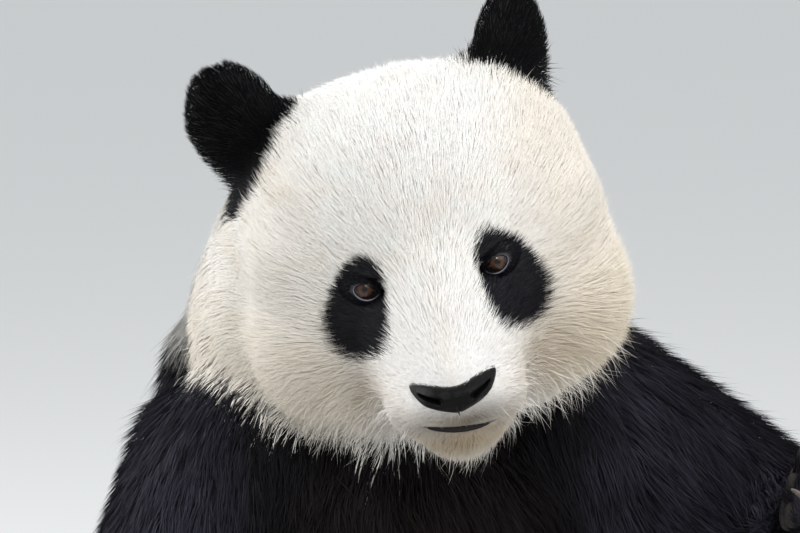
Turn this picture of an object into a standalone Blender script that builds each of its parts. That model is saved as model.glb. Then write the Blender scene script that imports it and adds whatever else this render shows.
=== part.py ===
"""A seated giant panda, life size, as a still model of closed solids.

Everything is in metres, +Z up. The body faces -Y and sits on the floor at z = 0, with
the origin on the flat under the rump. The flesh is fused from round masses, thinned to
plain facets and then parted with hairline cuts into the pieces that a person would name.
The surfaces are the tips of the coat.
"""

import math

import bmesh
import bpy
from mathutils import Euler, Matrix, Vector
from mathutils.bvhtree import BVHTree

GAP = 0.0004  # hairline between pieces that meet
CRUMB = 2e-5  # a cut-off bit smaller than this volume, in cubic metres, is dropped
LEFT, RIGHT = 1, -1  # +X is the animal's own left
SIDES = ((LEFT, "left"), (RIGHT, "right"))

# The head's own frame: origin at eye level inside the skull, face along -Y.
HEAD_AT = Vector((0.0, -0.125, 0.850))
HEAD_YAW, HEAD_ROLL, HEAD_PITCH = -19, -12, 8  # turned to its right, tipped, nose down
EYE_APART = 0.108
EYE_RADIUS = 0.0125
EYE_PROUD = 0.005  # how far an eyeball stands out of the short coat round it
SOCKET_DEPTH, SOCKET_REACH = 0.005, 0.036  # the shallow hollow that an eye lies in
NOSE_SIZE = Vector((0.068, 0.030, 0.031))
NOSE_AT = Vector((0.0, -0.181, -0.075))
MOUTH_HEIGHT = -0.110
JAW_WIDTH, JAW_HEIGHT, JAW_LENGTH = 0.112, 0.116, 0.200
EAR_ROOT = Vector((0.075, 0.045, 0.060))
EAR_AT = {RIGHT: Vector((-0.134, 0.046, 0.130)), LEFT: Vector((0.103, 0.061, 0.139))}
EAR_SIZE = Vector((0.094, 0.044, 0.114))
EAR_CUT = {RIGHT: 0.026, LEFT: 0.012}  # how far below its middle an ear is parted off
EAR_TURN = {RIGHT: -10, LEFT: 48}  # the right ear faces ahead, the left one aside
EAR_TILT = {RIGHT: 8, LEFT: 22}  # how far an ear leans outward

# Joints of the skeleton. The left paw is raised, the right one rests on the knee.
SHOULDER = {LEFT: Vector((0.172, 0.000, 0.674)), RIGHT: Vector((-0.118, 0.000, 0.650))}
ELBOW = {LEFT: Vector((0.402, 0.005, 0.530)), RIGHT: Vector((-0.228, -0.020, 0.425))}
WRIST = {LEFT: Vector((0.352, -0.205, 0.595)), RIGHT: Vector((-0.262, -0.235, 0.362))}
FOREPAW_AHEAD = {LEFT: (-0.40, -0.40, 0.82), RIGHT: (0.10, -1.0, -0.42)}
FOREPAW_BACK = {LEFT: (0.55, -0.80, 0.10), RIGHT: (-0.10, -0.35, 1.0)}
HIP = Vector((0.115, 0.020, 0.152))
KNEE = Vector((0.285, -0.230, 0.192))
ANKLE = Vector((0.252, -0.430, 0.069))

TOES = 5
FOREPAW_WIDTH, FOREPAW_LENGTH, FOREPAW_THICK = 0.140, 0.125, 0.096
HIND_WIDTH, HIND_LENGTH, HIND_THICK = 0.150, 0.145, 0.100
CLAW_LENGTH, CLAW_THICK = 0.030, 0.0124
CLAW_BEND = 1.1  # radians from root to point

# Parting cuts: the middle and the normal of each, and the radius of its round sheet,
# which is wider than the flesh there and stops short of the next piece.
EAR_SHEET, NECK_SHEET, WITHERS_SHEET = 0.072, 0.260, 0.250
WITHERS_CUT, WITHERS_NORMAL = Vector((0.0, 0.070, 0.800)), Vector((0.0, -0.12, 0.99))
SHOULDER_CUT, SHOULDER_NORMAL = Vector((0.200, 0.005, 0.635)), Vector((0.971, 0, 0.24))
SHOULDER_SHEET = 0.160
ELBOW_SHEET = {LEFT: 0.188, RIGHT: 0.150}
WRIST_SHEET = {LEFT: 0.100, RIGHT: 0.110}
TAIL_CUT, TAIL_NORMAL, TAIL_SHEET = Vector((0, 0.290, 0.095)), Vector((0, 0.88, -0.47)), 0.100
THIGH_SHARE = 0.66  # how far from hip to knee the thigh leaves the trunk
THIGH_NORMAL, THIGH_SHEET = Vector((0.75, -0.66, 0.05)), 0.168
KNEE_SHEET = 0.200
ANKLE_ABOVE, ANKLE_NORMAL = Vector((0, 0.012, 0.008)), Vector((0, -0.95, -0.10))
ANKLE_SHEET = 0.130

# Facets: the size of the remesh, its softening, and the triangles kept.
HEAD_FACETS = (0.0052, 12, 2450)
CORE_FACETS = (0.0080, 22, 2300)
ARM_FACETS = (0.0070, 6, 480)
NOSE_FACETS = (0.0022, 4, 190)

FINISHES = {
    "white_coat": ((0.80, 0.76, 0.68), 0.80),
    "black_coat": ((0.018, 0.017, 0.020), 0.70),
    "nose_skin": ((0.022, 0.019, 0.019), 0.35),
    "eye": ((0.060, 0.022, 0.010), 0.08),
    "claw": ((0.075, 0.062, 0.050), 0.40),
}
WHITE_NODES = ("head", "lower_jaw", "neck", "trunk", "tail")
SPARE_NECK = "spare_neck"  # the head's half of the neck, which the trunk's own replaces

HEAD = (
    Matrix.Translation(HEAD_AT)
    @ Matrix.Rotation(math.radians(HEAD_YAW), 4, "Z")
    @ Matrix.Rotation(math.radians(HEAD_ROLL), 4, "Y")
    @ Matrix.Rotation(math.radians(HEAD_PITCH), 4, "X")
)
# In the head's frame: the cut behind the jaw, and the neck's upper joint.
NECK_CUT, NECK_NORMAL = Vector((0, 0.095, -0.060)), Vector((0, 0.80, -0.60))
NECK = ((Vector((-0.005, 0.075, 0.690)), 0.168), (HEAD @ Vector((-0.024, 0.076, -0.012)), 0.150))


def clear_scene():
    for old in list(bpy.data.objects):
        bpy.data.objects.remove(old)


def dress(obj, finish):
    """Gives a piece its own material and shades it smooth, except across real edges."""
    colour, roughness = FINISHES[finish]
    coat = bpy.data.materials.new(f"{obj.name}_{finish}")
    coat.use_nodes = True
    shader = coat.node_tree.nodes["Principled BSDF"]
    shader.inputs["Base Color"].default_value = (*colour, 1)
    shader.inputs["Roughness"].default_value = roughness
    shader.inputs["Metallic"].default_value = 0.0
    obj.data.materials.clear()
    obj.data.materials.append(coat)
    obj.data.shade_smooth()
    obj.data.set_sharp_from_angle(angle=math.radians(50))
    return obj


# ---------------------------------------------------------------- making and cutting


def place(name, bm):
    mesh = bpy.data.meshes.new(name)
    bm.to_mesh(mesh)
    bm.free()
    obj = bpy.data.objects.new(name, mesh)
    bpy.context.scene.collection.objects.link(obj)
    return obj


def apply_modifiers(obj):
    graph = bpy.context.evaluated_depsgraph_get()
    mesh = bpy.data.meshes.new_from_object(obj.evaluated_get(graph))
    obj.modifiers.clear()
    obj.data = mesh


def boolean(obj, cutter, operation="DIFFERENCE"):
    trim = obj.modifiers.new("trim", "BOOLEAN")
    trim.operation = operation
    trim.solver = "EXACT"
    trim.object = cutter
    apply_modifiers(obj)


def cut_away(obj, cutter):
    boolean(obj, cutter)
    bpy.data.objects.remove(cutter)


def grown_copy(obj):
    """The piece's shape a hairline larger, for cutting the room that it sits in."""
    cutter = bpy.data.objects.new("room_" + obj.name, obj.data.copy())
    bpy.context.scene.collection.objects.link(cutter)
    grow = cutter.modifiers.new("grow", "DISPLACE")
    grow.strength = GAP
    grow.mid_level = 0
    apply_modifiers(cutter)
    return cutter


def mass(centre, radii, turn=(0, 0, 0)):
    """An ellipsoid as a matrix: where a unit ball is put, turned (degrees) and stretched."""
    spin = Euler([math.radians(angle) for angle in turn]).to_matrix().to_4x4()
    return Matrix.Translation(centre) @ spin @ Matrix.Diagonal((*radii, 1))


def limb(*joints):
    """Balls along (point, radius) joints, close enough to fuse into a smooth taper."""
    chain = []
    for (start, r0), (end, r1) in zip(joints, joints[1:]):
        start, end = Vector(start), Vector(end)
        steps = max(2, math.ceil((end - start).length / (0.3 * min(r0, r1))))
        for step in range(steps + 1):
            t = step / steps
            chain.append(mass(start.lerp(end, t), (r0 + (r1 - r0) * t,) * 3))
    return chain


def on_side(point, side):
    """A point of the animal's left side, or its mirror image on the right."""
    return point * Vector((side, 1, 1))


def both_sides(*masses):
    """The masses and their mirror images across the middle plane of their own frame."""
    mirror = Matrix.Diagonal((-1, 1, 1, 1))
    return [*masses, *(mirror @ m for m in masses)]


def fuse(name, masses, voxel, smoothing):
    """One closed skin round all the masses, softened where they meet."""
    bm = bmesh.new()
    for m in masses:
        bmesh.ops.create_icosphere(bm, subdivisions=4, radius=1, matrix=m)
    obj = place(name, bm)
    remesh = obj.modifiers.new("one_skin", "REMESH")
    remesh.mode = "VOXEL"
    remesh.voxel_size = voxel
    smooth = obj.modifiers.new("soften", "SMOOTH")
    smooth.factor = 0.5
    smooth.iterations = smoothing
    apply_modifiers(obj)
    return obj


def press(obj, centre, reach, push):
    """Moves the skin near a point by a push that fades to nothing at the reach."""
    for vertex in obj.data.vertices:
        near = (vertex.co - Vector(centre)).length / reach
        if near < 1:
            vertex.co += Vector(push) * (1 - near * near) ** 2


def thin_out(obj, triangles):
    """Plain facets: the skin collapsed to about this many triangles."""
    obj.data.calc_loop_triangles()
    collapse = obj.modifiers.new("facets", "DECIMATE")
    collapse.ratio = triangles / len(obj.data.loop_triangles)
    collapse.use_collapse_triangulate = True
    apply_modifiers(obj)


def sever(obj, centre, normal, radius):
    """Parts the flesh along a round sheet, a hairline thick, across the normal."""
    turn = Vector(normal).to_track_quat("Z", "Y").to_matrix().to_4x4()
    at = Matrix.Translation(centre) @ turn
    bm = bmesh.new()
    bmesh.ops.create_cone(
        bm, cap_ends=True, segments=18, radius1=radius, radius2=radius, depth=GAP, matrix=at
    )
    cut_away(obj, place("sheet", bm))


def islands(bm):
    """The separate bodies in a mesh, each as a set of vertices."""
    unseen = set(bm.verts)
    while unseen:
        body, front = set(), [unseen.pop()]
        while front:
            vertex = front.pop()
            body.add(vertex)
            for edge in vertex.link_edges:
                other = edge.other_vert(vertex)
                if other in unseen:
                    unseen.remove(other)
                    front.append(other)
        yield body


def part_into(obj, anchors):
    """Splits a cut mesh into its bodies; each takes the name whose anchor is nearest.

    Crumbs that a cut leaves are dropped, and so is the spare neck.
    """
    whole = bmesh.new()
    whole.from_mesh(obj.data)
    for body in list(islands(whole)):
        bm = bmesh.new()
        twins = {vertex: bm.verts.new(vertex.co) for vertex in body}
        for face in whole.faces:
            if face.verts[0] in body:
                bm.faces.new([twins[vertex] for vertex in face.verts])
        bm.normal_update()
        middle = sum((v.co for v in bm.verts), Vector()) / len(bm.verts)
        name = min(anchors, key=lambda word: (anchors[word] - middle).length)
        if name == SPARE_NECK or bm.calc_volume() < CRUMB:
            bm.free()
        else:
            dress(place(name, bm), "white_coat" if name in WHITE_NODES else "black_coat")
    whole.free()
    bpy.data.objects.remove(obj)


# ---------------------------------------------------------------- head


def skull():
    return [
        mass((0, 0.036, 0.042), (0.146, 0.130, 0.106)),
        mass((0, 0.000, -0.036), (0.157, 0.098, 0.108)),
        mass((0, -0.014, 0.030), (0.118, 0.086, 0.088)),
        *both_sides(
            mass((0.056, 0.040, 0.056), (0.082, 0.098, 0.084)),
            mass((0.088, 0.016, 0.006), (0.066, 0.090, 0.080)),
            mass((0.084, 0.002, -0.056), (0.078, 0.084, 0.082)),
            mass((0.052, -0.012, -0.092), (0.068, 0.074, 0.054)),
            mass((0.040, -0.054, 0.018), (0.050, 0.036, 0.036)),
        ),
    ]


def muzzle():
    return [
        *limb(((0, -0.060, -0.050), 0.078), ((0, -0.124, -0.079), 0.057)),
        *limb(((0, -0.058, 0.010), 0.048), ((0, -0.148, -0.058), 0.034)),
        *limb(((0, -0.050, -0.098), 0.056), ((0, -0.118, -0.106), 0.039)),
        *both_sides(mass((0.027, -0.138, -0.087), (0.034, 0.040, 0.029))),
    ]


def ear_disc(side):
    """A thick round disc on a short stem, tipped outward and turned about its height."""
    stem = EAR_AT[side].lerp(on_side(EAR_ROOT, side), 0.6)
    disc = mass(EAR_AT[side], EAR_SIZE / 2, (0, side * EAR_TILT[side], EAR_TURN[side]))
    return [disc, *limb((stem, 0.032), (EAR_AT[side], 0.020))]


def neck_stub():
    """The neck as the head sees it, so that both sides of their cut have one outline."""
    local = HEAD.inverted()
    return limb(*((local @ point, radius) for point, radius in NECK))


def nose_pad():
    """Two lobes over a narrower point, like a rounded T."""
    half = NOSE_SIZE / 2
    lobe_size = (half.x * 0.60, half.y, half.z * 0.68)
    lobes = both_sides(mass((half.x * 0.42, 0, half.z * 0.30), lobe_size, (0, 14, 16)))
    point = mass((0, 0.002, -half.z * 0.30), (half.x * 0.42, half.y * 0.9, half.z * 0.75))
    voxel, smoothing, triangles = NOSE_FACETS
    pad = fuse("nose", [*lobes, point], voxel, smoothing)
    pad.data.transform(Matrix.Translation(NOSE_AT))
    thin_out(pad, triangles)
    return pad


def eyeball(skin, side, word):
    """A ball set so deep in the skin that only a shallow cap stands out of it."""
    tree = BVHTree.FromPolygons(
        [v.co.copy() for v in skin.data.vertices],
        [list(p.vertices) for p in skin.data.polygons],
    )
    ahead_of_face = Vector((side * EYE_APART / 2, -0.5, 0))
    surface = tree.ray_cast(ahead_of_face, Vector((0, 1, 0)))[0]
    ball = mass(surface + Vector((0, EYE_RADIUS - EYE_PROUD, 0)), (EYE_RADIUS,) * 3)
    bm = bmesh.new()
    bmesh.ops.create_icosphere(bm, subdivisions=2, radius=1, matrix=ball)
    return place("eye_" + word, bm)


def jaw_room(grow):
    """A tunnel whose roof is the mouth: what it holds of the muzzle is the lower jaw."""
    at = Matrix.Translation((0, -0.150, MOUTH_HEIGHT - JAW_HEIGHT / 2 - grow))
    section = Matrix.Diagonal((JAW_WIDTH / 2 + grow, JAW_HEIGHT / 2 + grow, 1, 1))
    bm = bmesh.new()
    bmesh.ops.create_cone(
        bm,
        cap_ends=True,
        segments=22,
        radius1=1,
        radius2=1,
        depth=JAW_LENGTH + 2 * grow,
        matrix=at @ Matrix.Rotation(math.pi / 2, 4, "X") @ section,
    )
    return place("jaw_room", bm)


def head():
    """The head, jaw, ears, eyes and nose, worked in the head's frame and then posed."""
    masses = [*skull(), *muzzle(), *ear_disc(LEFT), *ear_disc(RIGHT), *neck_stub()]
    voxel, smoothing, triangles = HEAD_FACETS
    flesh = fuse("head_flesh", masses, voxel, smoothing)
    for side, _ in SIDES:
        socket = (side * EYE_APART / 2, -0.100, -0.004)
        press(flesh, socket, SOCKET_REACH, (0, SOCKET_DEPTH, 0))
    hard = [nose_pad(), *(eyeball(flesh, side, word) for side, word in SIDES)]
    thin_out(flesh, triangles)
    for piece in hard:
        cut_away(flesh, grown_copy(piece))

    jaw = bpy.data.objects.new("lower_jaw", flesh.data.copy())
    bpy.context.scene.collection.objects.link(jaw)
    room = jaw_room(0)
    boolean(jaw, room, "INTERSECT")
    bpy.data.objects.remove(room)
    cut_away(flesh, jaw_room(GAP))

    for side, _ in SIDES:
        outward = (EAR_AT[side] - on_side(EAR_ROOT, side)).normalized()
        sever(flesh, EAR_AT[side] - EAR_CUT[side] * outward, outward, EAR_SHEET)
    sever(flesh, NECK_CUT, NECK_NORMAL, NECK_SHEET)

    for piece in (jaw, flesh, *hard):
        piece.data.transform(HEAD)
    for piece in hard:
        dress(piece, "nose_skin" if piece.name == "nose" else "eye")
    dress(jaw, "white_coat")
    anchors = {
        "head": Vector((0, -0.03, 0)),
        "ear_left": EAR_AT[LEFT],
        "ear_right": EAR_AT[RIGHT],
        SPARE_NECK: Vector((0, 0.16, -0.16)),
    }
    part_into(flesh, {word: HEAD @ spot for word, spot in anchors.items()})


# ---------------------------------------------------------------- body and legs


def torso():
    return [
        mass((0, 0.060, 0.174), (0.262, 0.242, 0.188)),
        mass((0, -0.028, 0.305), (0.252, 0.226, 0.215)),
        mass((0, 0.035, 0.490), (0.220, 0.207, 0.262)),
        mass((0, 0.090, 0.410), (0.214, 0.200, 0.285)),
        mass((0, -0.045, 0.585), (0.156, 0.128, 0.140)),
        mass((0, 0.085, 0.650), (0.180, 0.150, 0.140)),
        *limb(((0, 0.262, 0.105), 0.062), ((0, 0.322, 0.048), 0.056)),
        *limb(*NECK),
    ]


def arm(side):
    shoulder, elbow, wrist = SHOULDER[side], ELBOW[side], WRIST[side]
    middle = shoulder.lerp(elbow, 0.5)
    return limb((shoulder, 0.106), (middle, 0.100), (elbow, 0.088), (wrist, 0.062))


def leg_joints(side):
    return [on_side(joint, side) for joint in (HIP, KNEE, ANKLE)]


def leg(side):
    hip, knee, ankle = leg_joints(side)
    return limb((hip, 0.156), (knee, 0.118), (ankle, 0.078))


def bend_cut(obj, before, joint, after, radius):
    """Parts a limb at a joint, across the line that halves its bend."""
    across = (joint - before).normalized() + (after - joint).normalized()
    sever(obj, joint, across, radius)


def paw_frame(at, ahead, back_of_paw):
    """A frame whose -Y runs to the toes and whose +Z is the back of the paw."""
    ahead = Vector(ahead).normalized()
    across = ahead.cross(Vector(back_of_paw)).normalized()
    up = across.cross(ahead)
    return Matrix.Translation(at) @ Matrix((-across, -ahead, up)).transposed().to_4x4()


def forepaw_frame(side):
    return paw_frame(WRIST[side], FOREPAW_AHEAD[side], FOREPAW_BACK[side])


def hind_frame(side):
    at = on_side(ANKLE + Vector((0.008, -0.040, 0.030)), side)
    return paw_frame(at, (side * 0.12, -0.28, 1.0), (-side * 0.05, 1.0, 0.28))


def toe_tips(width, length):
    """(point, spread angle) for each toe's end, on a shallow arc across the paw."""
    for toe in range(TOES):
        across = 2 * toe / (TOES - 1) - 1
        x = across * (width / 2 - 0.016)
        yield Vector((x, -length * (1 - 0.15 * across**2) + 0.018, 0)), across * 0.25


def paw(frame, width, length, thick, heel):
    """A broad pad with its toes; heel is how far it runs back from the wrist or ankle."""
    half = thick / 2
    masses = limb(((0, heel, 0), half * 0.95), ((0, -0.35 * length, 0), half))
    masses.append(mass((0, -0.50 * length, 0), (width * 0.47, length * 0.34, half * 0.88)))
    for tip, spread in toe_tips(width, length):
        toe_size = (0.0165, 0.030, half * 0.62)
        masses.append(mass(tip + Vector((0, 0.012, 0)), toe_size, (0, 0, math.degrees(spread))))
    return [frame @ m for m in masses]


def claw_line(t):
    """The middle of a claw, from its root at t = 0 to its point at t = 1, along an arc."""
    bend = CLAW_BEND * t
    arc = CLAW_LENGTH / CLAW_BEND
    return Vector((0, -arc * math.sin(bend), -arc * (1 - math.cos(bend))))


def claw(name, frame, tip, spread):
    """A curved, pointed horn that grows from a toe's tip and bends toward the sole."""
    rings, sides = 3, 5
    bm = bmesh.new()
    hoops = []
    for ring in range(rings):
        t = ring / rings
        radius = CLAW_THICK / 2 * (1 - t) ** 0.6
        turned = Matrix.Rotation(CLAW_BEND * t, 3, "X")
        hoop = []
        for k in range(sides):
            angle = math.tau * k / sides
            spoke = turned @ Vector((0.75 * math.cos(angle), 0, math.sin(angle)))
            hoop.append(bm.verts.new(claw_line(t) + spoke * radius))
        hoops.append(hoop)
    point = bm.verts.new(claw_line(1))
    for low, high in zip(hoops, hoops[1:]):
        for k in range(sides):
            bm.faces.new((low[k], low[k - 1], high[k - 1], high[k]))
    for k in range(sides):
        bm.faces.new((hoops[-1][k], hoops[-1][k - 1], point))
    bm.faces.new(hoops[0])
    bmesh.ops.recalc_face_normals(bm, faces=bm.faces)
    root = frame @ Matrix.Translation(tip + Vector((0, -0.008, 0.006)))
    bm.transform(root @ Matrix.Rotation(spread, 4, "Z"))
    return dress(place(name, bm), "claw")


def claws():
    made = []
    for side, word in SIDES:
        for foot, frame, width, length in (
            ("fore", forepaw_frame(side), FOREPAW_WIDTH, FOREPAW_LENGTH),
            ("hind", hind_frame(side), HIND_WIDTH, HIND_LENGTH),
        ):
            for number, (tip, spread) in enumerate(toe_tips(width, length)):
                made.append(claw(f"claw_{foot}_{word}_{number + 1}", frame, tip, spread))
    return made


def level_with_floor(obj):
    """Slices the flesh off flat where it presses on the floor."""
    bm = bmesh.new()
    below = Matrix.Translation((0, 0, -0.5)) @ Matrix.Diagonal((4, 4, 1, 1))
    bmesh.ops.create_cube(bm, size=1, matrix=below)
    cut_away(obj, place("below_floor", bm))


def fore_paw(side):
    return paw(forepaw_frame(side), FOREPAW_WIDTH, FOREPAW_LENGTH, FOREPAW_THICK, 0)


def core():
    """Everything below the head except the right arm, which lies against it."""
    masses = [*torso(), *arm(LEFT), *leg(LEFT), *leg(RIGHT), *fore_paw(LEFT)]
    for side, _ in SIDES:
        masses += paw(hind_frame(side), HIND_WIDTH, HIND_LENGTH, HIND_THICK, 0.050)
    voxel, smoothing, triangles = CORE_FACETS
    flesh = fuse("core_flesh", masses, voxel, smoothing)
    thin_out(flesh, triangles)
    level_with_floor(flesh)
    return flesh


def right_arm_on(flesh):
    """The right arm, cut to lie against the trunk and knee without touching them."""
    voxel, smoothing, triangles = ARM_FACETS
    resting = fuse("arm_flesh", [*arm(RIGHT), *fore_paw(RIGHT)], voxel, smoothing)
    thin_out(resting, triangles)
    cut_away(resting, grown_copy(flesh))
    return resting


def part_arm(obj, side):
    bend_cut(obj, SHOULDER[side], ELBOW[side], WRIST[side], ELBOW_SHEET[side])
    sever(obj, WRIST[side], WRIST[side] - ELBOW[side], WRIST_SHEET[side])


def part_leg(obj, side):
    hip, knee, ankle = leg_joints(side)
    sever(obj, hip.lerp(knee, THIGH_SHARE), on_side(THIGH_NORMAL, side), THIGH_SHEET)
    bend_cut(obj, hip, knee, ankle, KNEE_SHEET)
    sever(obj, ankle + ANKLE_ABOVE, ANKLE_NORMAL, ANKLE_SHEET)


def arm_anchors(side, word):
    return {
        "upper_arm_" + word: SHOULDER[side].lerp(ELBOW[side], 0.6),
        "forearm_" + word: ELBOW[side].lerp(WRIST[side], 0.55),
        "forepaw_" + word: forepaw_frame(side) @ Vector((0, -0.06, 0)),
    }


def leg_anchors(side, word):
    hip, knee, ankle = leg_joints(side)
    return {
        "thigh_" + word: hip.lerp(knee, 0.8),
        "shank_" + word: knee.lerp(ankle, 0.55),
        "hind_foot_" + word: hind_frame(side) @ Vector((0, -0.04, 0)),
    }


def body():
    """Trunk, neck, tail and limbs, trimmed to fit the head and claws and then parted."""
    horns = claws()
    flesh = core()
    resting_arm = right_arm_on(flesh)
    for piece in ("head", "lower_jaw"):
        cut_away(flesh, grown_copy(bpy.data.objects[piece]))
        cut_away(resting_arm, grown_copy(bpy.data.objects[piece]))
    for horn in horns:
        cut_away(resting_arm if "fore_right" in horn.name else flesh, grown_copy(horn))

    sever(flesh, WITHERS_CUT, WITHERS_NORMAL, WITHERS_SHEET)
    sever(flesh, SHOULDER_CUT, SHOULDER_NORMAL, SHOULDER_SHEET)
    part_arm(flesh, LEFT)
    sever(flesh, TAIL_CUT, TAIL_NORMAL, TAIL_SHEET)
    for side, _ in SIDES:
        part_leg(flesh, side)
    part_arm(resting_arm, RIGHT)

    anchors = {
        "neck": Vector((0.01, 0.030, 0.775)),
        "trunk": Vector((0, 0.05, 0.38)),
        "tail": Vector((0, 0.31, 0.05)),
        **arm_anchors(LEFT, "left"),
    }
    for side, word in SIDES:
        anchors.update(leg_anchors(side, word))
    part_into(flesh, anchors)
    part_into(resting_arm, arm_anchors(RIGHT, "right"))


clear_scene()
head()
body()
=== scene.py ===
# %% [markdown]
# # A seated giant panda, life size
#
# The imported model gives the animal's solid parts: head, jaw, ears, neck, trunk, tail,
# limbs, eyes, nose and claws. Their surfaces are the tips of the coat. Here they are
# dressed as in life: one skin lies a coat's depth inside them, tufts of fur grow out of
# it, and eyes, nose, mouth, pads and claws are finished one by one.
#
# Eyes, nose, lids, pads and the lie of the hair are placed from the solids' own boxes,
# so that the dress follows the body.

import math

import bmesh
import bpy
import numpy as np
from mathutils import Matrix, Vector
from mathutils.bvhtree import BVHTree
from mathutils.kdtree import KDTree


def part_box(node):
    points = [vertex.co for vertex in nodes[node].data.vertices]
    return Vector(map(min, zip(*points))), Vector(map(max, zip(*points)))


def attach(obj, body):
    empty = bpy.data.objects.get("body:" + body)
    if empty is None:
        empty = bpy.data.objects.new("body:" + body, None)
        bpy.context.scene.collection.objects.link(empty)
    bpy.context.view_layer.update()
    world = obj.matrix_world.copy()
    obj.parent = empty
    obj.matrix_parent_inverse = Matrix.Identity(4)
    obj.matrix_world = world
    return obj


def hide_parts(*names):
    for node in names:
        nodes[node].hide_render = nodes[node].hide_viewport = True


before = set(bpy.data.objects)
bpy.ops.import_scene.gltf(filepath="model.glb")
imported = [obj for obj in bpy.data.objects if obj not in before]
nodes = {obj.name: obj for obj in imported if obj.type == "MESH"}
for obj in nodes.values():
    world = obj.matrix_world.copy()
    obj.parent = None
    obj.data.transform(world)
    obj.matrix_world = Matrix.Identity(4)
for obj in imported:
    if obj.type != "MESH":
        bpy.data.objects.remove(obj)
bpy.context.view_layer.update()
dice = np.random.default_rng(11)


def middle(node):
    low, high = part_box(node)
    return np.array((low + high) / 2)


def unit(vectors):
    length = np.linalg.norm(vectors, axis=-1, keepdims=True)
    return vectors / np.maximum(length, 1e-12)


# %% [markdown]
# ## The face's own directions
#
# The head is turned, tipped and bowed, so "left", "ahead" and "up" on the face are not
# those of the room. They could be typed in as angles, but the two eyes and the nose
# already say where the face looks. The eyes give left, and the nose lies a known angle
# below straight ahead. Places on the face are then easy to say: x to the panda's left,
# y back into the head, z up, all from the point between the eyes.

# %% The face's own directions
NOSE_BELOW = math.radians(36)  # how far the nose lies below straight ahead of the eyes

between_eyes = (middle("eye_left") + middle("eye_right")) / 2
face_left = unit(middle("eye_left") - middle("eye_right"))
to_nose = middle("nose") - between_eyes
to_nose = unit(to_nose - face_left * (to_nose @ face_left))
brow_ward = np.cross(to_nose, face_left)
face_back = -(math.cos(NOSE_BELOW) * to_nose + math.sin(NOSE_BELOW) * brow_ward)
face_up = np.cross(face_left, face_back)
face_axes = np.array([face_left, face_back, face_up])
eye_apart = np.linalg.norm(middle("eye_left") - middle("eye_right"))


def to_face(points):
    """Room places as places on the face."""
    return (np.asarray(points) - between_eyes) @ face_axes.T


def from_face(places):
    """Places on the face as room places."""
    return between_eyes + np.asarray(places) @ face_axes


def turned(axes):
    """The matrix that turns X, Y and Z into these three directions."""
    return Matrix(axes.tolist()).transposed().to_4x4()


def face_matrix(origin):
    """A matrix whose X, Y and Z are the face's left, back and up, at a room place."""
    return Matrix.Translation(origin) @ turned(face_axes)


print("eyes", round(eye_apart, 4), "apart; the nose is at", to_face(middle("nose")).round(4))

# %% [markdown]
# ## Soft steps and hills
#
# Fur never changes at a line. Length, colour and direction all fade from one part of
# the body to the next, so two small curves are used everywhere below: a ramp that goes
# softly from 0 to 1, and a hill that is 1 at a place and fades round it. A slow ripple
# adds the wandering that keeps a coat from looking combed by a machine.

# %% Soft steps and hills


def ramp(value, low, high):
    t = np.clip((value - low) / (high - low), 0, 1)
    return t * t * (3 - 2 * t)


def hill(places, top, reach):
    """1 at the top, fading to nothing over about twice the reach along each axis."""
    away = (places - np.array(top)) / np.array(reach)
    return np.exp(-0.5 * (away**2).sum(1))


def hills(places, top, reach):
    """The same hill on the left and the right of the face."""
    return np.maximum(hill(places, top, reach), hill(places, (-top[0], *top[1:]), reach))


def blend(low, high, share):
    """From low to high by a share for each place; colours are blended channel by channel."""
    if np.ndim(low) == 2:
        share = share[:, None]
    return low + (np.asarray(high) - low) * share


def ripple(points, size, seed):
    """A smooth value from -1 to 1 that wanders over a length of about this size."""
    waves = np.random.default_rng(seed)
    total = np.zeros(len(points))
    for _ in range(5):
        direction = unit(waves.normal(size=3)) * math.tau / size * waves.uniform(0.6, 1.4)
        total += np.sin(points @ direction + waves.uniform(0, math.tau))
    return total / 3


# %% [markdown]
# ## One skin
#
# A real animal has a single skin, without the seams where the solids part. Joining the
# solids by hand would leave those seams, and sculpting one anew could drift from them.
# So all the solids of flesh, with nose and eyes, are let grow by a hair until they
# overlap, and a voxel remesh wraps them in one closed surface. Smoothing melts the
# facets away. The face is then divided once more, as everyone looks there first.

# %% One skin round all the flesh
HARD_PARTS = ("eye", "nose", "claw")
SKIN_VOXEL, SKIN_SOFTENING = 0.0069, 14
HAIR_OVERLAP = 0.001
FACE_HALF_WIDTH, FACE_BACK, FACE_LOW, FACE_HIGH = 0.15, 0.055, -0.14, 0.07

flesh = [name for name in sorted(nodes) if not name.startswith(HARD_PARTS)]


def add_object(name, data):
    made = bpy.data.objects.new(name, data)
    bpy.context.scene.collection.objects.link(made)
    return made


def new_object(name, bm):
    mesh = bpy.data.meshes.new(name)
    bm.to_mesh(mesh)
    bm.free()
    return add_object(name, mesh)


def wrap(made, voxel, softening):
    """One closed surface round everything in the mesh."""
    remesh = made.modifiers.new("one_surface", "REMESH")
    remesh.mode = "VOXEL"
    remesh.voxel_size = voxel
    soften = made.modifiers.new("soften", "SMOOTH")
    soften.factor = 0.5
    soften.iterations = softening
    graph = bpy.context.evaluated_depsgraph_get()
    mesh = bpy.data.meshes.new_from_object(made.evaluated_get(graph))
    made.modifiers.clear()
    made.data = mesh
    mesh.name = made.name


def fused_flesh():
    bm = bmesh.new()
    for name in [*flesh, "nose", "eye_left", "eye_right"]:
        bm.from_mesh(nodes[name].data)
    bmesh.ops.remove_doubles(bm, verts=bm.verts, dist=1e-5)
    bm.normal_update()
    for vertex in bm.verts:
        vertex.co += vertex.normal * HAIR_OVERLAP
    made = new_object("skin", bm)
    wrap(made, SKIN_VOXEL, SKIN_SOFTENING)
    return made


def is_face(co):
    x, y, z = to_face(np.array(co))
    return y < FACE_BACK and abs(x) < FACE_HALF_WIDTH and FACE_LOW < z < FACE_HIGH


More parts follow.
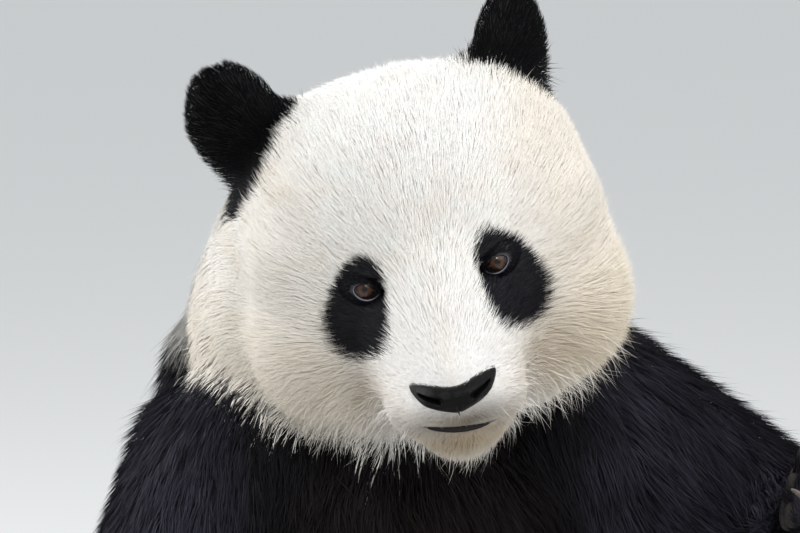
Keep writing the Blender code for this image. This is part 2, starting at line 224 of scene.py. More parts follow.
def divide_face(made):
    bm = bmesh.new()
    bm.from_mesh(made.data)
    shown = {vertex for vertex in bm.verts if is_face(vertex.co)}
    edges = [edge for edge in bm.edges if shown.issuperset(edge.verts)]
    bmesh.ops.subdivide_edges(bm, edges=edges, cuts=1, use_grid_fill=True)
    bmesh.ops.triangulate(bm, faces=bm.faces)
    bm.to_mesh(made.data)
    bm.free()


def mesh_arrays(mesh):
    """A mesh's points and its triangles, as arrays."""
    points = np.empty(len(mesh.vertices) * 3)
    mesh.vertices.foreach_get("co", points)
    mesh.calc_loop_triangles()
    corners = np.empty(len(mesh.loop_triangles) * 3, int)
    mesh.loop_triangles.foreach_get("vertices", corners)
    return points.reshape(-1, 3), corners.reshape(-1, 3)


skin = fused_flesh()
divide_face(skin)
outer, triangles = mesh_arrays(skin.data)
print("skin:", len(outer), "points,", len(triangles), "triangles")

# %% [markdown]
# ## Working on the skin as arrays
#
# Each point of the skin will carry what a furrier would chalk on a hide: which part of
# the body it is, how deep the coat is there, where the hair points. With tens of
# thousands of points it is quickest to keep these as arrays, one row a point, and to
# smooth any of them by letting each point take the mean of its neighbours.

# %% Neighbours, normals and body parts
edges = np.unique(np.sort(triangles[:, [0, 1, 1, 2, 2, 0]].reshape(-1, 2), axis=1), axis=0)
one_end, other_end = edges.T.ravel(), edges.T[::-1].ravel()
neighbours = np.bincount(one_end, minlength=len(outer))


def spread(values, rounds):
    """Each point takes the mean of itself and its neighbours, again and again."""
    columns = values.reshape(len(values), -1)
    for _ in range(rounds):
        sums = [np.bincount(one_end, c[other_end], len(c)) for c in columns.T]
        columns = (columns + np.array(sums).T / neighbours[:, None]) / 2
    return columns.reshape(values.shape)


def point_normals(points):
    a, b, c = (points[triangles[:, k]] for k in range(3))
    across = np.cross(b - a, c - a)
    total = np.zeros_like(points)
    for k in range(3):
        for axis in range(3):
            total[:, axis] += np.bincount(triangles[:, k], across[:, axis], len(points))
    return unit(total)


def nearest_parts(points):
    """The solid of flesh that each point lies on."""
    corners, faces, owners = [], [], []
    for number, name in enumerate(flesh):
        spots, tris = mesh_arrays(nodes[name].data)
        faces += (tris + len(corners)).tolist()
        corners += spots.tolist()
        owners += [number] * len(tris)
    tree = BVHTree.FromPolygons(corners, faces)
    return np.array([owners[tree.find_nearest(point)[2]] for point in points.tolist()])


part = nearest_parts(outer)
normals = point_normals(outer)
face_places = to_face(outer)


def on(*names):
    """Which points lie on the solids whose names start with one of these."""
    chosen = [number for number, name in enumerate(flesh) if name.startswith(names)]
    return np.isin(part, chosen)


def by_part(values, otherwise=0.0):
    """A value for each point of the skin, set down for one or more parts of the body."""
    found = np.full(len(part), otherwise)
    for names, value in values.items():
        found[on(*names.split())] = value
    return found


on_head = on("head", "lower_jaw")
print({name: int((part == number).sum()) for number, name in enumerate(flesh)})

# %% [markdown]
# ## How deep the coat is
#
# A panda's coat is woolly on the trunk and so short on the muzzle that the bone shows
# through. The solids are drawn round the tips of the hair, so the skin has to lie inside
# them by exactly that depth. Giving each part of the body one depth would leave steps,
# so the depths are spread over the skin until they run into each other.

# %% The coat's depth, and the skin sunk by it
COAT_DEPTH = {
    "head": 0.0085,
    "lower_jaw ear": 0.0060,
    "neck": 0.0140,
    "trunk tail": 0.0240,
    "upper_arm thigh": 0.0210,
    "forearm shank": 0.0180,
    "forepaw hind_foot": 0.0090,
}
CHEEK_DEPTH, MUZZLE_DEPTH, EYE_DEPTH = 0.0160, 0.0030, 0.0030
EYE_PLACE = (eye_apart / 2, 0.0, 0.0)
MUZZLE_PLACE = (0.0, -0.085, -0.085)
CHEEK_PLACE = (0.120, 0.030, -0.070)

depth = spread(by_part(COAT_DEPTH), 24)
cheek = hills(face_places, CHEEK_PLACE, (0.045, 0.070, 0.050)) * on_head
muzzle = hill(face_places, MUZZLE_PLACE, (0.042, 0.045, 0.036)) * on_head
round_eye = hills(face_places, EYE_PLACE, (0.026, 0.030, 0.026)) * on_head
depth = blend(depth, CHEEK_DEPTH, cheek)
depth = blend(depth, MUZZLE_DEPTH, np.clip(1.3 * muzzle, 0, 1))
depth = spread(blend(depth, EYE_DEPTH, round_eye), 8)

skin_points = outer - normals * depth[:, None]
skin_points += (spread(skin_points, 3) - skin_points) * (~on_head)[:, None]
print("coat depth", depth.min().round(4), "to", depth.max().round(4))

# %% [markdown]
# ## Room for eyes, nose and mouth
#
# The eyeball sits in a socket that the lids close round, and the nose pad is hollow at
# the nostrils. Cutting holes would leave raw edges. Instead the skin is drawn back behind
# each of them, so that it never shows in an opening. The lower lip lies a little behind
# the upper one, which makes the mouth's fold. The curves of nose and mouth are set down
# here, because skin, fur, nose and lips all have to agree about them.

# %% Room for eyes, nose and mouth
EYE_HALF_WIDTH, EYE_HALF_HEIGHT = 0.0102, 0.0062
SOCKET_BACK, NOSE_ROOM, CHIN_BACK = 0.0060, 0.0090, 0.0045
NOSE_WIDTH, NOSE_TALL = 0.0705, 0.0224
NOSE_CORNER_UP = 0.0119  # its outer corners, above its middle
NOSE_LOBE = 0.0028
MOUTH_UP, MOUTH_TILT, MOUTH_CURL = -0.1030, -0.15, 1.6
nose_middle = middle("nose")
nose_place = to_face(nose_middle)


def nose_top(s):
    """The pad's upper edge, s from -1 to 1 across: two low lobes with a dip between."""
    across = np.abs(s)
    return NOSE_CORNER_UP + NOSE_LOBE * ramp(across, 0.0, 0.62) * np.sqrt(1 - across**7)


def nose_bottom(s):
    """The pad's lower edge: drawn down to a point in the middle."""
    return NOSE_CORNER_UP - NOSE_TALL * (1 - np.abs(s) ** 1.15) ** 0.55


def mouth_line(x):
    return MOUTH_UP + MOUTH_TILT * x + MOUTH_CURL * x * x


def near_eye(places):
    """How many times an eye's half opening each place is from the middle of the nearer one."""
    across = (np.abs(places[:, 0]) - EYE_PLACE[0]) / EYE_HALF_WIDTH
    return np.hypot(across, places[:, 2] / EYE_HALF_HEIGHT)


inside = (1 - ramp(near_eye(face_places), 1.1, 1.9)) * (face_places[:, 1] < 0.02) * on_head
back = np.maximum(0, SOCKET_BACK - to_face(skin_points)[:, 1]) * inside
x, y, z = (face_places - (nose_place[0], 0, 0)).T
s = np.clip(np.abs(x) / (NOSE_WIDTH / 2), 0, 1)
up = z - nose_place[2]
inside = ramp(nose_top(s) - up, 0.0005, 0.0040) * ramp(up - nose_bottom(s), 0.0005, 0.0040)
under = (1 - ramp(z - mouth_line(x), -0.004, 0.001)) * (1 - ramp(np.abs(x), 0.030, 0.048))
back += (NOSE_ROOM * inside * (s < 1) + CHIN_BACK * under) * (y < 0) * on_head
skin_points += back[:, None] * face_back

skin_normals = point_normals(skin_points)
face_places = to_face(skin_points)

# %% [markdown]
# ## The lie of the coat
#
# Hair grows away from the nose: up the bridge and over the crown, out across the
# cheeks, and then back and down over the body, along each limb to its toes. Combing by
# hand would take days. Instead each part gets one plain rule for where its hair points,
# the rules are spread into each other, and every direction is laid flat on the skin.

# %% The lie of the coat
LIMBS = {"fore": ("upper_arm", "forearm", "forepaw"), "hind": ("thigh", "shank", "hind_foot")}
DOWN = np.array([0.0, 0.0, -1.0])
EAR_ROOT = 0.27  # where an ear's hair comes from, as a share of the way to the head's middle
LIMB_DROOP = 0.15
BODY_AXIS = (0, 0.05, 0)  # the upright line that neck's and trunk's hair stands out from
STANDS_OUT = {"trunk": 0.25, "neck": 0.35}
CHIN_PLACE, CHIN_REACH = (0.0, -0.070, -0.130), (0.040, 0.045, 0.014)


def lay_flat(directions, across):
    return unit(directions - across * (directions * across).sum(-1, keepdims=True))


lie = np.tile(DOWN, (len(skin_points), 1))
droop = 0.55 * ramp(np.abs(face_places[:, 0]), 0.05, 0.14) * ramp(-face_places[:, 2], 0.02, 0.10)
droop += 0.9 * ramp(face_places[:, 1], 0.05, 0.16)
over_head = on("head", "lower_jaw", "ear")
lie[over_head] = (unit(skin_points - nose_middle) + droop[:, None] * DOWN)[over_head]
for word in ("left", "right"):
    ear = on("ear_" + word)
    root = middle("ear_" + word) * (1 - EAR_ROOT) + middle("head") * EAR_ROOT
    lie[ear] = unit(skin_points - root)[ear]
    for foot, chain in LIMBS.items():
        claws = [middle(name) for name in nodes if name.startswith(f"claw_{foot}_{word}")]
        stations = [*(middle(f"{bone}_{word}") for bone in chain), np.mean(claws, axis=0)]
        for bone, start, end in zip(chain, stations, stations[1:]):
            lie[on(f"{bone}_{word}")] = unit(end - start) + LIMB_DROOP * DOWN
outward = unit(skin_points * (1, 1, 0) - BODY_AXIS)
lie += outward * by_part(STANDS_OUT)[:, None]
lie[on("tail")] = (0.0, 0.6, -0.8)

chin = hill(face_places, CHIN_PLACE, CHIN_REACH) * on_head
lie = lay_flat(spread(unit(lie), 14) + 0.9 * chin[:, None] * DOWN, skin_normals)
print("hair laid on", len(lie), "points; the chin's hangs on", int((chin > 0.5).sum()))

# %% [markdown]
# ## Where the coat is black
#
# Ears, eye patches, limbs and a band over the shoulders are black. A painted picture
# would be quick, but would have to be wrapped on the body. Here the markings are rules:
# the black parts start black, the band is a slab of height that drops toward the chest,
# the ears' black spills a little onto the head, and each eye patch is a slanted teardrop.

# %% Where the coat is black
PATCH_MIDDLE = (0.0078, -0.0115)  # outward and up from the eye
PATCH_HALF_WIDTH, PATCH_HALF_HEIGHT = 0.0258, 0.0440
PATCH_SLANT = math.radians(19)
BAND_CHEST, BAND_BACK, BAND_NAPE = 0.475, 0.585, 0.762
EAR_SPILL, EAR_SPILL_OUTSIDE = 0.018, 0.038  # how far the ears' black runs down the head

black_parts = on("ear", "upper_arm", "forearm", "forepaw", "thigh", "shank", "hind_foot")
x, y, z = skin_points.T
band_low = BAND_CHEST + (BAND_BACK - BAND_CHEST) * ramp(y, -0.12, 0.18)
band_high = BAND_NAPE + 0.06 * (1 - ramp(y, -0.04, 0.05))
band = on("trunk") & (z > band_low) & (z < band_high)
blackness = spread((black_parts | band).astype(float), 10)
blackness = spread(np.where(on("neck"), 0.2 * blackness, blackness), 3)


def tree_of(spots):
    """A tree that finds the nearest of these places."""
    tree = KDTree(len(spots))
    for number, spot in enumerate(spots.tolist()):
        tree.insert(spot, number)
    tree.balance()
    return tree


ear_tree = tree_of(skin_points[on("ear")])
from_ear = np.array([ear_tree.find(point)[2] for point in skin_points.tolist()])
outer_ear = ramp(np.abs(face_places[:, 0]), 0.080, 0.120)
spilt = from_ear < blend(EAR_SPILL, EAR_SPILL_OUTSIDE, outer_ear)
blackness = np.maximum(blackness, spread(spilt.astype(float), 3))


def eye_patch(places):
    """0 in the middle of the nearer eye patch, 1 at its edge, more outside."""
    out = np.abs(places[:, 0]) - EYE_PLACE[0] - PATCH_MIDDLE[0]
    up = places[:, 2] - PATCH_MIDDLE[1]
    along = up * math.cos(PATCH_SLANT) - out * math.sin(PATCH_SLANT)
    across = out * math.cos(PATCH_SLANT) + up * math.sin(PATCH_SLANT)
    narrowing = 1 - 0.18 * along / PATCH_HALF_HEIGHT
    return np.hypot(across / (PATCH_HALF_WIDTH * narrowing), along / PATCH_HALF_HEIGHT)


print("black covers", round(float((blackness > 0.5).mean()), 2), "of the skin's points")

# %% [markdown]
# ## The coat's colours
#
# The light coat isn't one white: it goes from ivory on the brow to cream on the rump and
# biscuit on cheeks and chin. Some of it is painted shade. The cheeks' biscuit is partly a
# tan stain and partly shade beside the muzzle. The cheeks' cream deepens low on the face
# and on the panda's left. The brown on the upper lip is partly a stain and partly the
# shadow under the muzzle. The black is brownish on the chest. Painted sheen lightens it
# on the upper arms and the eye patches, and painted shade darkens the ears. One flat colour
# for each would look like plush, so each tint is laid over the last by a soft share, and
# every edge of black is made ragged hair by hair.

# %% The coat's colours
WHITE = (0.97, 0.94, 0.893)
MUZZLE_WHITE = (0.90, 0.885, 0.865)
CREAM = (0.83, 0.73, 0.585)
BISCUIT = (0.46, 0.345, 0.205)
# A brown for stains, and for the painted shadow under the muzzle.
STAIN_AND_SHADOW_BROWN = (0.12, 0.09, 0.06)
LID_BLACK = (0.010, 0.009, 0.011)
BLACK = (0.0048, 0.0048, 0.0064)
CHEST_BLACK = (0.0130, 0.0088, 0.0080)
# Painted sheen: the eye patches' black is lightened where their short hair shines.
PATCH_SHEEN_BLACK = (0.0180, 0.0175, 0.0215)
ARM_SHEEN_BLACK = (0.036, 0.035, 0.049)  # painted sheen on the outside of the upper arms
# Painted shade: the ears' black is made darker than the rest of the black.
EAR_SHADE_BLACK = (0.0008, 0.0008, 0.0012)

# Where a tint is strongest, and how far it reaches; the chest's spot is one in the room.
# The cheeks' biscuit is partly a tan stain and partly painted shade beside the muzzle.
CHEEK_STAIN_AND_SHADE = ((0.074, -0.02, -0.090), (0.030, 0.07, 0.026))
BROW = ((0, -0.02, 0.040), (0.050, 0.08, 0.034))
BRIDGE = ((0, -0.05, -0.035), (0.006, 0.06, 0.026))
MUZZLE_TOP = ((0, -0.08, -0.050), (0.030, 0.06, 0.034))
ABOVE_NOSE = ((0, -0.110, nose_place[2] + 0.014), (0.016, 0.05, 0.006))
LIP_STAIN_AND_SHADOW = ((0, -0.095, -0.096), (0.032, 0.05, 0.0105))
CHIN_STAIN = ((0, -0.070, -0.118), (0.036, 0.06, 0.013))
CHEST = ((0, -0.20, 0.55), (0.12, 0.10, 0.12))

BLACK_RAGGED, PATCH_RAGGED = 0.16, 0.07
BLACK_EDGE, PATCH_EDGE = (0.44, 0.56), (0.95, 1.06)
SEAM_THICK = 0.0021


def laid_over(colour, tints):
    """A colour for each place, with one tint after another laid over it by its share."""
    for tint, share in tints:
        colour = blend(colour, tint, share)
    return colour


def white_coat(points, places, head_share, ragged):
    """The light coat at each place: darker and yellower low down and to the sides."""
    x, height = places[:, 0], points[:, 2]
    rump = 0.24 * (1 - ramp(height, 0.55, 0.70)) + 0.44 * (1 - ramp(height, 0.05, 0.35))
    outer_face = ramp(np.abs(x), 0.045, 0.125) * head_share
    low_face = ramp(-places[:, 2], -0.02, 0.09)
    # Partly a tan stain, partly painted shade beside the muzzle, stronger on the panda's left.
    cheek_stain_and_shade = (0.64 + 1.4 * x + 0.16 * ripple(points, 0.014, 23)) * hills(places, *CHEEK_STAIN_AND_SHADE)
    brow = (0.15 + 0.12 * ripple(points, 0.010, 25)) * hill(places, *BROW)
    chin = hill(places, *CHIN_STAIN)
    # The upper lip's brown is partly a stain and partly painted shadow under the muzzle's overhang.
    lips = np.maximum((0.90 + 0.10 * ragged) * hill(places, *LIP_STAIN_AND_SHADOW), (0.14 + 0.16 * ragged) * chin)
    lips = np.maximum(lips, 0.20 * hill(places, *ABOVE_NOSE)).clip(0, 1)
    mottle = np.clip(ripple(points, 0.030, 21), 0, 1) * (0.10 + 0.25 * outer_face)
    return laid_over(np.tile(WHITE, (len(points), 1)), (
        (CREAM, (1 - head_share) * (0.12 + rump)),
        # The cheeks' cream is their own; its deepening low on the face and on the panda's left is painted
        # shade.
        (CREAM, outer_face * (0.38 + 0.50 * low_face + x)),
        (BISCUIT, cheek_stain_and_shade * head_share),
        (CREAM, brow * head_share),
        (MUZZLE_WHITE, hill(places, *MUZZLE_TOP)),
        (BISCUIT, 0.90 * chin * head_share),
        (STAIN_AND_SHADOW_BROWN, lips * head_share),
        (CREAM, 0.30 * hill(places, *BRIDGE) * head_share),
        (CREAM, mottle * head_share),
    ))


def marking(points, black_share, head_share, raggedness):
    """The coat's colour and blackness at each place. Raggedness is a number a hair, about 0."""
    places = to_face(points)
    body_share = 1 - head_share
    ragged = np.clip(raggedness, -2, 2)
    patch = 1 - ramp(eye_patch(places) + PATCH_RAGGED * ragged, *PATCH_EDGE)
    patch *= head_share * (places[:, 1] < 0.06)
    flank = ramp(np.abs(points[:, 0]), 0.12, 0.20) * ramp(points[:, 2], 0.48, 0.62)
    # Painted sheen: the upper arms' black is lightened on their outside, more on the panda's right.
    arm_sheen = 0.72 - 0.8 * points[:, 0] + 0.16 * ripple(points, 0.05, 27)
    dark = laid_over(np.tile(BLACK, (len(points), 1)), (
        (CHEST_BLACK, hill(points, *CHEST) * body_share),
        (ARM_SHEEN_BLACK, arm_sheen * flank * body_share),
        # painted sheen on the eye patches
        (PATCH_SHEEN_BLACK, 0.5 * patch),
        # painted shade on the ears
        (EAR_SHADE_BLACK, ramp(places[:, 2], 0.075, 0.11) * head_share),
    ))
    black = np.maximum(ramp(black_share + BLACK_RAGGED * ragged, *BLACK_EDGE), patch)
    return blend(white_coat(points, places, head_share, ragged), dark, black), black


head_share = spread(over_head.astype(float), 6)
skin_colour, _ = marking(skin_points, blackness, head_share, np.zeros(len(skin_points)))
x, y, z = face_places.T
seam = np.exp(-(((z - mouth_line(x)) / SEAM_THICK) ** 2)) * head_share
seam *= (1 - ramp(np.abs(x), 0.026, 0.038)) * (y < -0.03)
skin_colour = blend(skin_colour, LID_BLACK, seam)
print("the mean colour of the skin is", skin_colour.mean(0).round(3))

# %% [markdown]
# ## The skin's finish
#
# Between the hairs the skin shows, in the coat's own colours but duller. It takes the
# markings from the array above, point by point, and a fine grain.

# %% The skin is finished


def paint(mesh, colours):
    layer = mesh.color_attributes.new("Tint", "FLOAT_COLOR", "POINT")
    rgba = np.ones((len(colours), 4), np.float32)
    rgba[:, :3] = colours
    layer.data.foreach_set("color", rgba.ravel())


def feed(node, sockets):
    """Each named socket of a shader node gets a value, or a link from another socket."""
    for name, source in sockets.items():
        if isinstance(source, bpy.types.NodeSocket):
            node.id_data.links.new(source, node.inputs[name])
        else:
            node.inputs[name].default_value = source


def add_node(tree, kind, sockets, operation=None):
    node = tree.nodes.new("ShaderNode" + kind)
    if operation:
        node.operation = operation
    feed(node, sockets)
    return node


def object_place(tree):
    return add_node(tree, "TexCoord", {}).outputs["Object"]


def new_material(name, roughness, gloss=0.5, colour=None):
    made = bpy.data.materials.new(name)
    made.use_nodes = True
    shader = made.node_tree.nodes["Principled BSDF"]
    feed(shader, {"Roughness": roughness, "Specular IOR Level": gloss})
    if colour:
        feed(shader, {"Base Color": (*colour, 1)})
    return made, made.node_tree, shader


def tinted(name, roughness, grain_size, grain_depth, gloss=0.5, fleck=(0.86, 1.10)):
    """A material that takes its colour from the mesh and its grain from noise.

    Fleck holds the darkest and the lightest that the grain makes the colour.
    """
    made, tree, shader = new_material(name, roughness, gloss)
    tint = add_node(tree, "Attribute", {})
    tint.attribute_name = "Tint"
    noise = add_node(tree, "TexNoise", {"Scale": 1 / grain_size, "Vector": object_place(tree)})
    grain = noise.outputs["Fac"]
    flecks = add_node(tree, "MapRange", {"Value": grain, "To Min": fleck[0], "To Max": fleck[1]})
    vary = add_node(tree, "VectorMath", {0: tint.outputs["Color"], 1: flecks.outputs["Result"]}, "MULTIPLY")
    feed(shader, {"Base Color": vary.outputs["Vector"]})
    if grain_depth:
        bump = add_node(tree, "Bump", {"Distance": grain_depth, "Height": grain})
        feed(shader, {"Normal": bump.outputs["Normal"]})
    return made


def finished(made, material):
    made.data.shade_smooth()
    made.data.materials.clear()
    made.data.materials.append(material)


skin.data.vertices.foreach_set("co", skin_points.astype(np.float32).ravel())
skin.data.update()
paint(skin.data, skin_colour)
finished(skin, tinted("skin_under_coat", 0.8, 0.003, 0.0008))
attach(skin, "root")
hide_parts(*flesh)
print("skin is", skin_points.min(0).round(3), "to", skin_points.max(0).round(3))

# %% [markdown]
# ## Where the paw pads lie
#
# A panda's soles are furred, but under each toe and across the ball of the foot lie
# bare, leathery pads. Their places follow from the claws: a toe pad lies a little behind
# each claw, and the broad pad further back. They are moved to the skin of the sole. The
# right forepaw rests on the knee, so its palm doesn't show and gets none.

# %% Where the paw pads lie
PALM_FACES = {  # the way each sole faces
    "hind_left": (0.05, -1, -0.28),
    "hind_right": (-0.05, -1, -0.28),
    "fore_left": (-0.5, 0.8, 0),
}
TOE_PAD = (0.0105, 0.0125, 0.0070)  # half its width, length and thickness
BROAD_PAD = (0.0240, 0.0170, 0.0080)
TOE_PAD_BACK, BROAD_PAD_BACK, BROAD_PAD_APART, BROAD_PAD_BOW = 0.028, 0.060, 0.021, 0.004
SOLE_AWAY = 0.035
skin_tree = BVHTree.FromPolygons(skin_points.tolist(), triangles.tolist())


def paw_pads(paw):
    """The pads of a paw, each as its middle, its three directions and its half sizes."""
    foot, word = paw.split("_")
    tips = np.array([middle(f"claw_{foot}_{word}_{number}") for number in range(1, 6)])
    wrist = middle("forepaw_left" if foot == "fore" else "hind_foot_" + word)
    across = unit(tips[-1] - tips[0])
    ahead = lay_flat(tips.mean(0) - wrist, across)
    sole = lay_flat(lay_flat(np.array(PALM_FACES[paw]), across), ahead)
    wanted = [(tip - ahead * TOE_PAD_BACK, TOE_PAD) for tip in tips]
    for shift in (-1, 0, 1):
        spot = tips.mean(0) - ahead * (BROAD_PAD_BACK - BROAD_PAD_BOW * (shift == 0))
        wanted.append((spot + across * shift * BROAD_PAD_APART, BROAD_PAD))
    found = []
    for spot, half in wanted:
        spot = skin_tree.find_nearest(Vector(spot + sole * SOLE_AWAY))[0]
        found.append((np.array(spot), np.array([across, ahead, sole]), np.array(half)))
    return found


pads = {paw: paw_pads(paw) for paw in PALM_FACES}
print({paw: len(found) for paw, found in pads.items()}, "pads")

# %% [markdown]
# ## Where the tufts are rooted
#
# A coat has millions of hairs, far more than any mesh can hold. Hairs cling together in
# small locks, though, and a lock can be one slim solid spindle. So the coat is made of
# tufts: very fine and close on the face, wider and further apart where the coat is long.
# Their roots are laid over the skin by area, each triangle taking its fair share.

# %% Where the tufts are rooted
TUFT_GAP = {
    "ear": 0.0016,
    "neck": 0.0022,
    "upper_arm": 0.0026,
    "forepaw hind_foot": 0.0036,
    "forearm": 0.0038,
    "trunk tail": 0.0044,
    "thigh shank": 0.0052,
}
FACE_GAP, BACK_OF_HEAD_GAP = 0.00138, 0.0025
SHOULDER_GAP, SHOULDER_UP = 0.0031, 0.56

spacing = by_part(TUFT_GAP)
spacing[on("trunk") & (skin_points[:, 2] > SHOULDER_UP)] = SHOULDER_GAP
head_gap = blend(FACE_GAP, BACK_OF_HEAD_GAP, ramp(face_places[:, 1], 0.085, 0.145))
spacing = spread(np.where(on_head, head_gap, spacing), 4)


def scatter(points, faces, gaps):
    """Roots over the faces, about as far apart as the gaps: a face and a share each."""
    a, b, c = (points[faces[:, k]] for k in range(3))
    area = np.linalg.norm(np.cross(b - a, c - a), axis=1) / 2
    ends = np.cumsum(area / gaps[faces].mean(1) ** 2)
    count = int(ends[-1])
    picks = (np.arange(count) + dice.random(count)) * ends[-1] / count
    face = np.searchsorted(ends, picks).clip(0, len(faces) - 1)
    shares = dice.random((count, 2))
    over = shares.sum(1) > 1
    shares[over] = 1 - shares[over]
    return face, np.column_stack([1 - shares.sum(1), shares])


def at_roots(values, faces, face, share):
    """A value kept at each point of a surface, read where its tufts are rooted."""
    corners = values[faces[face]]
    if values.ndim == 1:
        return (corners * share).sum(1)
    return (corners * share[:, :, None]).sum(1)


def rooted(values):
    """A value kept at each point of the skin, read at the roots of the coat."""
    return at_roots(values, triangles, root_face, root_share)


root_face, root_share = scatter(skin_points, triangles, spacing)
print(len(root_face), "roots on the skin")

# %% [markdown]
# ## How long, how wide, how raised
#
# Hair is a few millimetres long on a panda's muzzle, nearly three centimetres on the
# cheeks and four or five on the trunk. A tuft should end where the solid's surface is,
# so it rises by the coat's depth, quickly at first, and then lies down along the body.

# %% Each tuft's length, width and rise
TUFT_LENGTH = {
    "ear": 0.0115,
    "lower_jaw forepaw hind_foot": 0.0170,
    "head": 0.0200,
    "neck": 0.0330,
    "forearm shank": 0.0340,
    "upper_arm": 0.0380,
    "thigh": 0.0400,
    "tail": 0.0430,
    "trunk": 0.0460,
}
NAPE_LENGTH, CHEEK_LENGTH, CHIN_LENGTH = 0.0330, 0.0290, 0.0170
PATCH_LENGTH, MUZZLE_LENGTH, LIP_LENGTH = 0.0075, 0.0046, 0.0032
TUFT_WIDTH = {"head": 0.35, "lower_jaw": 0.36, "neck": 0.30, "trunk tail": 0.38}
BODY_TUFT_WIDTH = 0.46  # these widths are shares of the gap between roots
CHIN_LIFT = 0.0060
LIP_REACH, MOUTH_HALF_WIDTH = 0.0060, 0.034  # where the hair is as short as on the lips

x, y, z = face_places.T
cheek = hills(face_places, CHEEK_PLACE, (0.040, 0.060, 0.050)) * on_head
muzzle = hill(face_places, MUZZLE_PLACE, (0.045, 0.050, 0.040)) * on_head
patch_place = (EYE_PLACE[0] + 0.006, -0.010, -0.012)
patches = hills(face_places, patch_place, (0.026, 0.034, 0.038)) * on_head
by_mouth = np.exp(-(((z - mouth_line(x)) / LIP_REACH) ** 2)) * on_head
by_mouth *= (np.abs(x) < MOUTH_HALF_WIDTH) & (y < -0.03)
length = by_part(TUFT_LENGTH)
for long, share in (
    (NAPE_LENGTH, ramp(y, 0.070, 0.150) * on("head")),
    (CHEEK_LENGTH, cheek),
    (MUZZLE_LENGTH, np.clip(1.35 * muzzle, 0, 1)),
    (PATCH_LENGTH, np.clip(1.2 * patches, 0, 0.95)),
    (CHIN_LENGTH, chin),
    (LIP_LENGTH, by_mouth),
):
    length = blend(length, long, share)
length = spread(length, 3)
width = spread(by_part(TUFT_WIDTH, BODY_TUFT_WIDTH), 6) * spacing
print("tufts are", length.min().round(4), "to", length.max().round(4), "long")

# %% [markdown]
# ## Where no tuft grows
#
# The eye openings, the nose pad, the line of the mouth and the pads of the paws stay
# bare. Cutting off the hair that crosses them would leave stumps, so the roots in such
# places are dropped before anything grows. Fur still covers the very rim of the nose
# pad, as in life.

# %% Where no tuft grows
BARE_EYE = 1.75  # how many times its opening
NOSE_FURRED_ABOVE, NOSE_FURRED_BELOW = 0.0024, 0.0006  # how far fur covers the pad's rim
BARE_MOUTH_HALF_WIDTH, BARE_UNDER_MOUTH, BARE_OVER_MOUTH = 0.030, 0.0024, 0.0060
BARE_PAD = (1.05, 1.05, 1.6)  # how many times its half sizes


def bare(places):
    """Where no tuft may be rooted: open eyes, nose pad and the mouth's line."""
    x, y, z = places.T
    up, over_mouth = z - nose_place[2], z - mouth_line(x)
    s = np.clip(np.abs(x) / (NOSE_WIDTH * 0.5), 0, 1)
    nose = (s < 1) & (up < nose_top(s) - NOSE_FURRED_ABOVE) & (up > nose_bottom(s) + NOSE_FURRED_BELOW)
    mouth = (over_mouth > -BARE_UNDER_MOUTH) & (over_mouth < BARE_OVER_MOUTH)
    mouth &= np.abs(x) < BARE_MOUTH_HALF_WIDTH
    return (y < 0.0) & ((near_eye(places) < BARE_EYE) | nose | mouth)


def on_pads(places):
    """Which places lie on a paw pad, which is as bare as the nose."""
    covered = np.zeros(len(places), bool)
    for spot, axes, half in (pad for found in pads.values() for pad in found):
        covered |= np.linalg.norm((places - spot) @ axes.T / (half * BARE_PAD), axis=1) < 1
    return covered


roots = rooted(skin_points)
keep = ~(bare(to_face(roots)) & (rooted(head_share) > 0.5)) & ~on_pads(roots)
root_face, root_share, roots = root_face[keep], root_share[keep], roots[keep]
print(len(roots), "tufts on the skin")

# %% [markdown]
# ## One tuft, and then all of them
#
# A tuft could be a flat blade, which is cheap but vanishes edge-on, or a round tube,
# which costs too many faces. A slim spindle of three sides is the least solid that
# looks round and closes to a point at both ends: six triangles. It rises steeply to a
# bend and then lies down along the body. All tufts of a piece are worked out together
# as arrays, because a loop over two hundred thousand would take too long.

# %% One tuft, and then all of them
BEND_AT, BEND_RISEN = 0.44, 0.66  # along the tuft, and how much of its rise is done
TUFT_FLATNESS = 0.55
ROOT_SUNK = 0.0008
OWN_SHADING = 0.09
PATCH_ON_MAP = 0.0030
TUFT_FACES = np.array([(0, 2, 1), (0, 3, 2), (0, 1, 3), (1, 2, 4), (2, 3, 4), (3, 1, 4)])
print(len(TUFT_FACES), "triangles a tuft")


def tuft_points(base, up, along, size, wide, rise):
    """The corners of every tuft, (tufts, corners, 3): the root, the bend's three, the tip."""
    side = np.cross(up, along)
    tip = base + along * size[:, None] + up * rise[:, None]
    bend = base + along * (size * BEND_AT)[:, None] + up * (rise * BEND_RISEN)[:, None]
    over = np.cross(unit(tip - bend), side)
    corners = [base - up * ROOT_SUNK]
    for k in range(3):
        angle = math.tau * (k + 0.25) / 3
        reach = side * math.cos(angle) + over * math.sin(angle) * TUFT_FLATNESS
        corners.append(bend + reach * (wide / 2)[:, None])
    return np.stack([*corners, tip], axis=1)


